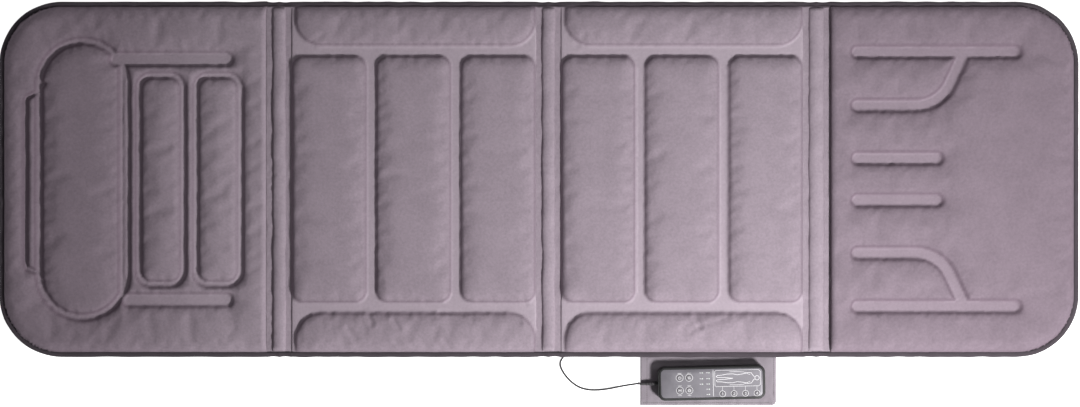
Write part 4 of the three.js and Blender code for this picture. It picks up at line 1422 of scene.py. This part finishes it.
class MASSAGEMAT_OT_handset(bpy.types.Operator):
    """The hand control: housing, face plate, keys, printed signs and cord sleeve"""

    bl_idname = "massage_mat.handset"
    bl_label = "Hand control"

    def execute(self, context):
        self.housing()
        self.keys()
        self.signs()
        sleeve = turned([(3.8, 0), (3.8, 3.0), (2.6, 3.0), (2.6, 2.3), (0, 2.3), (-0.3, 3.25), (-4.4, 3.35),
                         (-4.9, 2.9), (-6.6, 2.9), (-7.1, 3.2), (-9.0, 3.1), (-9.5, 2.65), (-11.2, 2.6),
                         (-11.7, 2.95), (-13.6, 2.85), (-14.1, 2.4), (-15.8, 2.35), (-16.3, 2.7),
                         (-18.2, 2.6), (-18.7, 2.15), (-20.4, 2.1), (-20.9, 2.4), (-26.3, 2.15),
                         (-27.4, 1.9), (-27.9, 1.6), (-27.9, 0)], 28)
        turn = handset_turn() @ Matrix.Translation((-84.3, 0, 5.3))
        boot = piece("cord_sleeve", sleeve, [material("rubber")], turn=turn)
        sharpen(boot, 40)
        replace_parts(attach(boot, "handset"), "handset_cable_boot")
        return {"FINISHED"}

    def key_cutter(self, play):
        """Solid pegs where the keys come through."""
        bm = bmesh.new()
        for x, y in KEY_SIGNS.values():
            disc(bm, x, y, 5, 30, MODE_RADIUS + play, 32)
        for x, y in ZONE_KEYS:
            disc(bm, x, y, 5, 30, ZONE_RADIUS + play, 32)
        return piece("key_cutter", bm, [], turn=handset_turn())

    def housing(self):
        """The two halves of the housing and the face plate."""
        turn = handset_turn()
        lower = handset_plate(0, 0, SPLIT - 0.15)
        round_edges(lower, edges_at(lower, 0), SHELL_ROUNDING, 5)
        bmesh.ops.delete(lower, geom=[f for f in lower.faces if f.normal.z > 0.99], context="FACES")
        bmesh.ops.solidify(lower, geom=lower.faces[:], thickness=1.8)
        bottom = piece("hand_control_lower_shell", lower, [material("shell")], turn=turn)
        upper = handset_plate(0, SPLIT + 0.15, FACE_TOP)
        round_edges(upper, edges_at(upper, FACE_TOP), SHELL_ROUNDING, 5)
        top = [f for f in upper.faces if f.normal.z > 0.99]
        bmesh.ops.inset_region(upper, faces=top, thickness=1.6)
        made = bmesh.ops.extrude_face_region(upper, geom=top)
        sunk = [g for g in made["geom"] if isinstance(g, bmesh.types.BMVert)]
        bmesh.ops.translate(upper, vec=(0, 0, -1.2), verts=sunk)
        bmesh.ops.delete(upper, geom=[f for f in top if f.is_valid], context="FACES_KEEP_BOUNDARY")
        bmesh.ops.delete(upper, geom=[f for f in upper.faces if f.normal.z < -0.99], context="FACES")
        bmesh.ops.recalc_face_normals(upper, faces=upper.faces)
        if max(upper.faces, key=lambda f: f.calc_area()).normal.z < 0:
            bmesh.ops.reverse_faces(upper, faces=upper.faces)
        upper.normal_update()
        bmesh.ops.solidify(upper, geom=upper.faces[:], thickness=1.6)
        shell = piece("hand_control_upper_shell", upper, [material("shell")], turn=turn)
        face = handset_plate(4.3, FACE_TOP - 1, FACE_TOP)
        round_edges(face, edges_at(face, FACE_TOP), 0.35, 2)
        plate = piece("hand_control_face", face, [material("face")], turn=turn)
        cutter = self.key_cutter(KEY_PLAY)
        for part, node in ((shell, "handset_top_shell"), (plate, "handset_faceplate")):
            cut_out(part, cutter)
            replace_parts(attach(part, "handset"), node)
            sharpen(part)
        bpy.data.objects.remove(cutter)
        sharpen(bottom)
        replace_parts(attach(bottom, "handset"), "handset_bottom_shell")

    def keys(self):
        """The caps of the eight keys, each on its own body."""
        places = dict(KEY_SIGNS)
        places.update({f"zone_{i + 1}_key": at for i, at in enumerate(ZONE_KEYS)})
        for name, (x, y) in places.items():
            radius = ZONE_RADIUS if name.startswith("zone") else MODE_RADIUS
            bm = bmesh.new()
            disc(bm, x, y, KEY_FOOT, KEY_TOP, radius, 40)
            round_edges(bm, edges_at(bm, KEY_TOP), 0.45, 3)
            disc(bm, x, y, KEY_FOOT, KEY_FLANGE_TOP, radius + 1.2, 40)
            self.key_sign(bm, name, x, y)
            bmesh.ops.recalc_face_normals(bm, faces=bm.faces)
            cap = piece("hand_control_" + name, bm, [material("key"), material("marking")],
                        turn=handset_turn())
            sharpen(cap)
            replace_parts(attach(cap, name), "handset_" + name)

    def key_sign(self, bm, name, x, y):
        """The printed sign on a key."""
        z = KEY_TOP + 0.04
        size = 0.45
        if name == "power_key":
            stroke(bm, arc(x, y, 2.0, 125, 415, 12), size, z, 1)
            stroke(bm, [(x, y + 0.5), (x, y + 2.7)], size, z, 1)
        elif name == "heat_key":
            for shift in (-1.5, 0, 1.5):
                wave = [(x + shift + 0.45 * math.sin(t * math.pi / 3), y - 2.1 + 0.7 * t) for t in range(7)]
                stroke(bm, wave, size, z, 1)
        elif name == "mode_key":
            stroke(bm, [(x - 1.9, y - 1.9), (x - 1.9, y + 1.9), (x, y - 0.4), (x + 1.9, y + 1.9),
                        (x + 1.9, y - 1.9)], size, z, 1)
        elif name == "speed_key":
            stroke(bm, arc(x, y, 2.4, 0, 360, 20), size * 0.8, z, 1)
            for angle in (90, 210, 330):
                blade_x = x + 1.1 * math.cos(math.radians(angle))
                blade_y = y + 1.1 * math.sin(math.radians(angle))
                stroke(bm, arc(blade_x, blade_y, 0.7, angle - 90, angle + 150, 8), size, z, 1)
        else:
            self.number(bm, int(name.split("_")[1]), x, y, z)

    def number(self, bm, value, x, y, z):
        """A plain digit drawn with strokes."""
        lines = {
            1: [[(-0.7, 1.2), (0.1, 1.9), (0.1, -1.9)]],
            2: [arc(0, 0.75, 1.1, 160, -40, 8) + [(-1.1, -1.9), (1.2, -1.9)]],
            3: [[(-1.1, 1.9), (1.1, 1.9), (-0.1, 0.4), (1.1, -0.5), (0.7, -1.7), (-1.1, -1.9)]],
            4: [[(0.6, -1.9), (0.6, 1.9), (-1.2, -0.7), (1.3, -0.7)]],
        }[value]
        for line in lines:
            stroke(bm, [(x + a, y + b) for a, b in line], 0.42, z, 1)

    def signs(self):
        """The printed signs, lamps and figure on the face plate."""
        bm = bmesh.new()
        z = FACE_TOP + 0.02
        for x, y in KEY_SIGNS.values():
            stroke(bm, arc(x, y, MODE_RADIUS + 0.85, 0, 360, 36), 0.55, z)
        for x, y in ZONE_KEYS:
            stroke(bm, arc(x, y, ZONE_RADIUS + 0.8, 0, 360, 30), 0.55, z)
        for row in (16.4, -3.4, -18.6):
            for x in (-50.3, -35.5):
                stroke(bm, [(x - 2.6, row), (x + 2.6, row)], 0.45, z)
        stroke(bm, [(2.2, 20.5), (2.2, -20.5)], 0.6, z)
        self.figure(bm, z)
        for x, y in ZONE_KEYS:
            stroke(bm, [(x, y + ZONE_RADIUS + 1.2), (x, -5.8)], 0.35, z)
        for x, y in LAMPS:
            lamp = disc(bm, x, y, z - 0.03, z + 0.3, 1.0, 20, top=0.75)
            for face in {f for v in lamp for f in v.link_faces}:
                face.material_index = 1
            stroke(bm, [(x - 4.2, y), (x - 2.0, y)], 0.7, z)
        signs = piece("hand_control_signs", bm, [material("marking"), material("lamp")],
                      smooth=False, turn=handset_turn())
        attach(signs, "handset")

    def figure(self, bm, z):
        """The outline of a person lying down, head to the right."""
        bed = [(6.5, 19.6), (73.5, 19.6), (76.2, 17.0), (76.2, -3.2), (73.5, -5.8), (6.5, -5.8),
               (4.8, -4.0), (4.8, 17.8), (6.5, 19.6)]
        stroke(bm, bed, 0.5, z)
        middle = 6.8
        stroke(bm, arc(71.0, middle, 3.4, 0, 360, 20), 0.65, z)
        body = [(67.0, 8.6), (65.0, 10.4), (62.2, 14.6), (57.0, 15.4), (48.0, 13.2), (40.0, 12.2),
                (33.0, 13.8), (24.0, 13.6), (15.0, 12.0), (8.8, 11.8), (6.8, 10.0), (8.8, 8.6),
                (20.0, 8.2), (33.0, 6.9)]
        arm = [(60.0, 12.0), (50.0, 16.4), (40.0, 17.2), (28.0, 17.0)]
        for side in (1, -1):
            stroke(bm, [(x, middle + side * (y - middle)) for x, y in body], 0.65, z)
            stroke(bm, [(x, middle + side * (y - middle)) for x, y in arm], 0.5, z)


# ---- pieces that keep the model's own shape ----

KEPT = {
    "foam_core": "foam", "heat_pad": "heat", "motor_case": "motor", "rotor": "steel",
    "handset_circuit_board": "board", "handset_screw_1": "steel", "handset_screw_2": "steel",
    "power_inlet": "rubber",
}


class MASSAGEMAT_OT_inner_parts(bpy.types.Operator):
    """Finishes of the foam, heat sheets, motors, circuit board, screws and power inlet"""

    bl_idname = "massage_mat.inner_parts"
    bl_label = "Inner parts"

    def execute(self, context):
        for name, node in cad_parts.items():
            for ending, finish in KEPT.items():
                if name.endswith(ending):
                    for index in range(max(1, len(node.material_slots))):
                        if not node.material_slots:
                            node.data.materials.append(material(finish))
                        node.material_slots[index].material = material(finish)
        return {"FINISHED"}


# ---- panel and start ----

OPERATORS = (MASSAGEMAT_OT_stage, MASSAGEMAT_OT_cord, MASSAGEMAT_OT_covers, MASSAGEMAT_OT_base_cloths,
             MASSAGEMAT_OT_binding, MASSAGEMAT_OT_folds, MASSAGEMAT_OT_pocket, MASSAGEMAT_OT_handset,
             MASSAGEMAT_OT_inner_parts)


class MASSAGEMAT_PT_panel(bpy.types.Panel):
    """Buttons for the mat's pieces, with its sizes and colours"""

    bl_idname = "MASSAGEMAT_PT_panel"
    bl_label = "Massage mat"
    bl_space_type = "VIEW_3D"
    bl_region_type = "UI"
    bl_category = "Massage mat"

    def draw(self, context):
        for operator in OPERATORS:
            self.layout.operator(operator.bl_idname)
        for settings in (context.scene.massage_mat_sizes, context.scene.massage_mat_colours):
            box = self.layout.box()
            for name in settings.__annotations__:
                box.prop(settings, name)


CLASSES = (MassageMatSizes, MassageMatColours, *OPERATORS, MASSAGEMAT_PT_panel)


def register():
    """Adds the operators, the panel and the settings."""
    for cls in CLASSES:
        bpy.utils.register_class(cls)
    bpy.types.Scene.massage_mat_sizes = PointerProperty(type=MassageMatSizes)
    bpy.types.Scene.massage_mat_colours = PointerProperty(type=MassageMatColours)


def unregister():
    """Removes them again."""
    del bpy.types.Scene.massage_mat_colours
    del bpy.types.Scene.massage_mat_sizes
    for cls in reversed(CLASSES):
        bpy.utils.unregister_class(cls)


def main():
    """Builds the mat piece by piece."""
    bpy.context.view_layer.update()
    register()
    for operator in OPERATORS:
        group, name = operator.bl_idname.split(".")
        getattr(getattr(bpy.ops, group), name)()


if __name__ == "__main__":
    main()
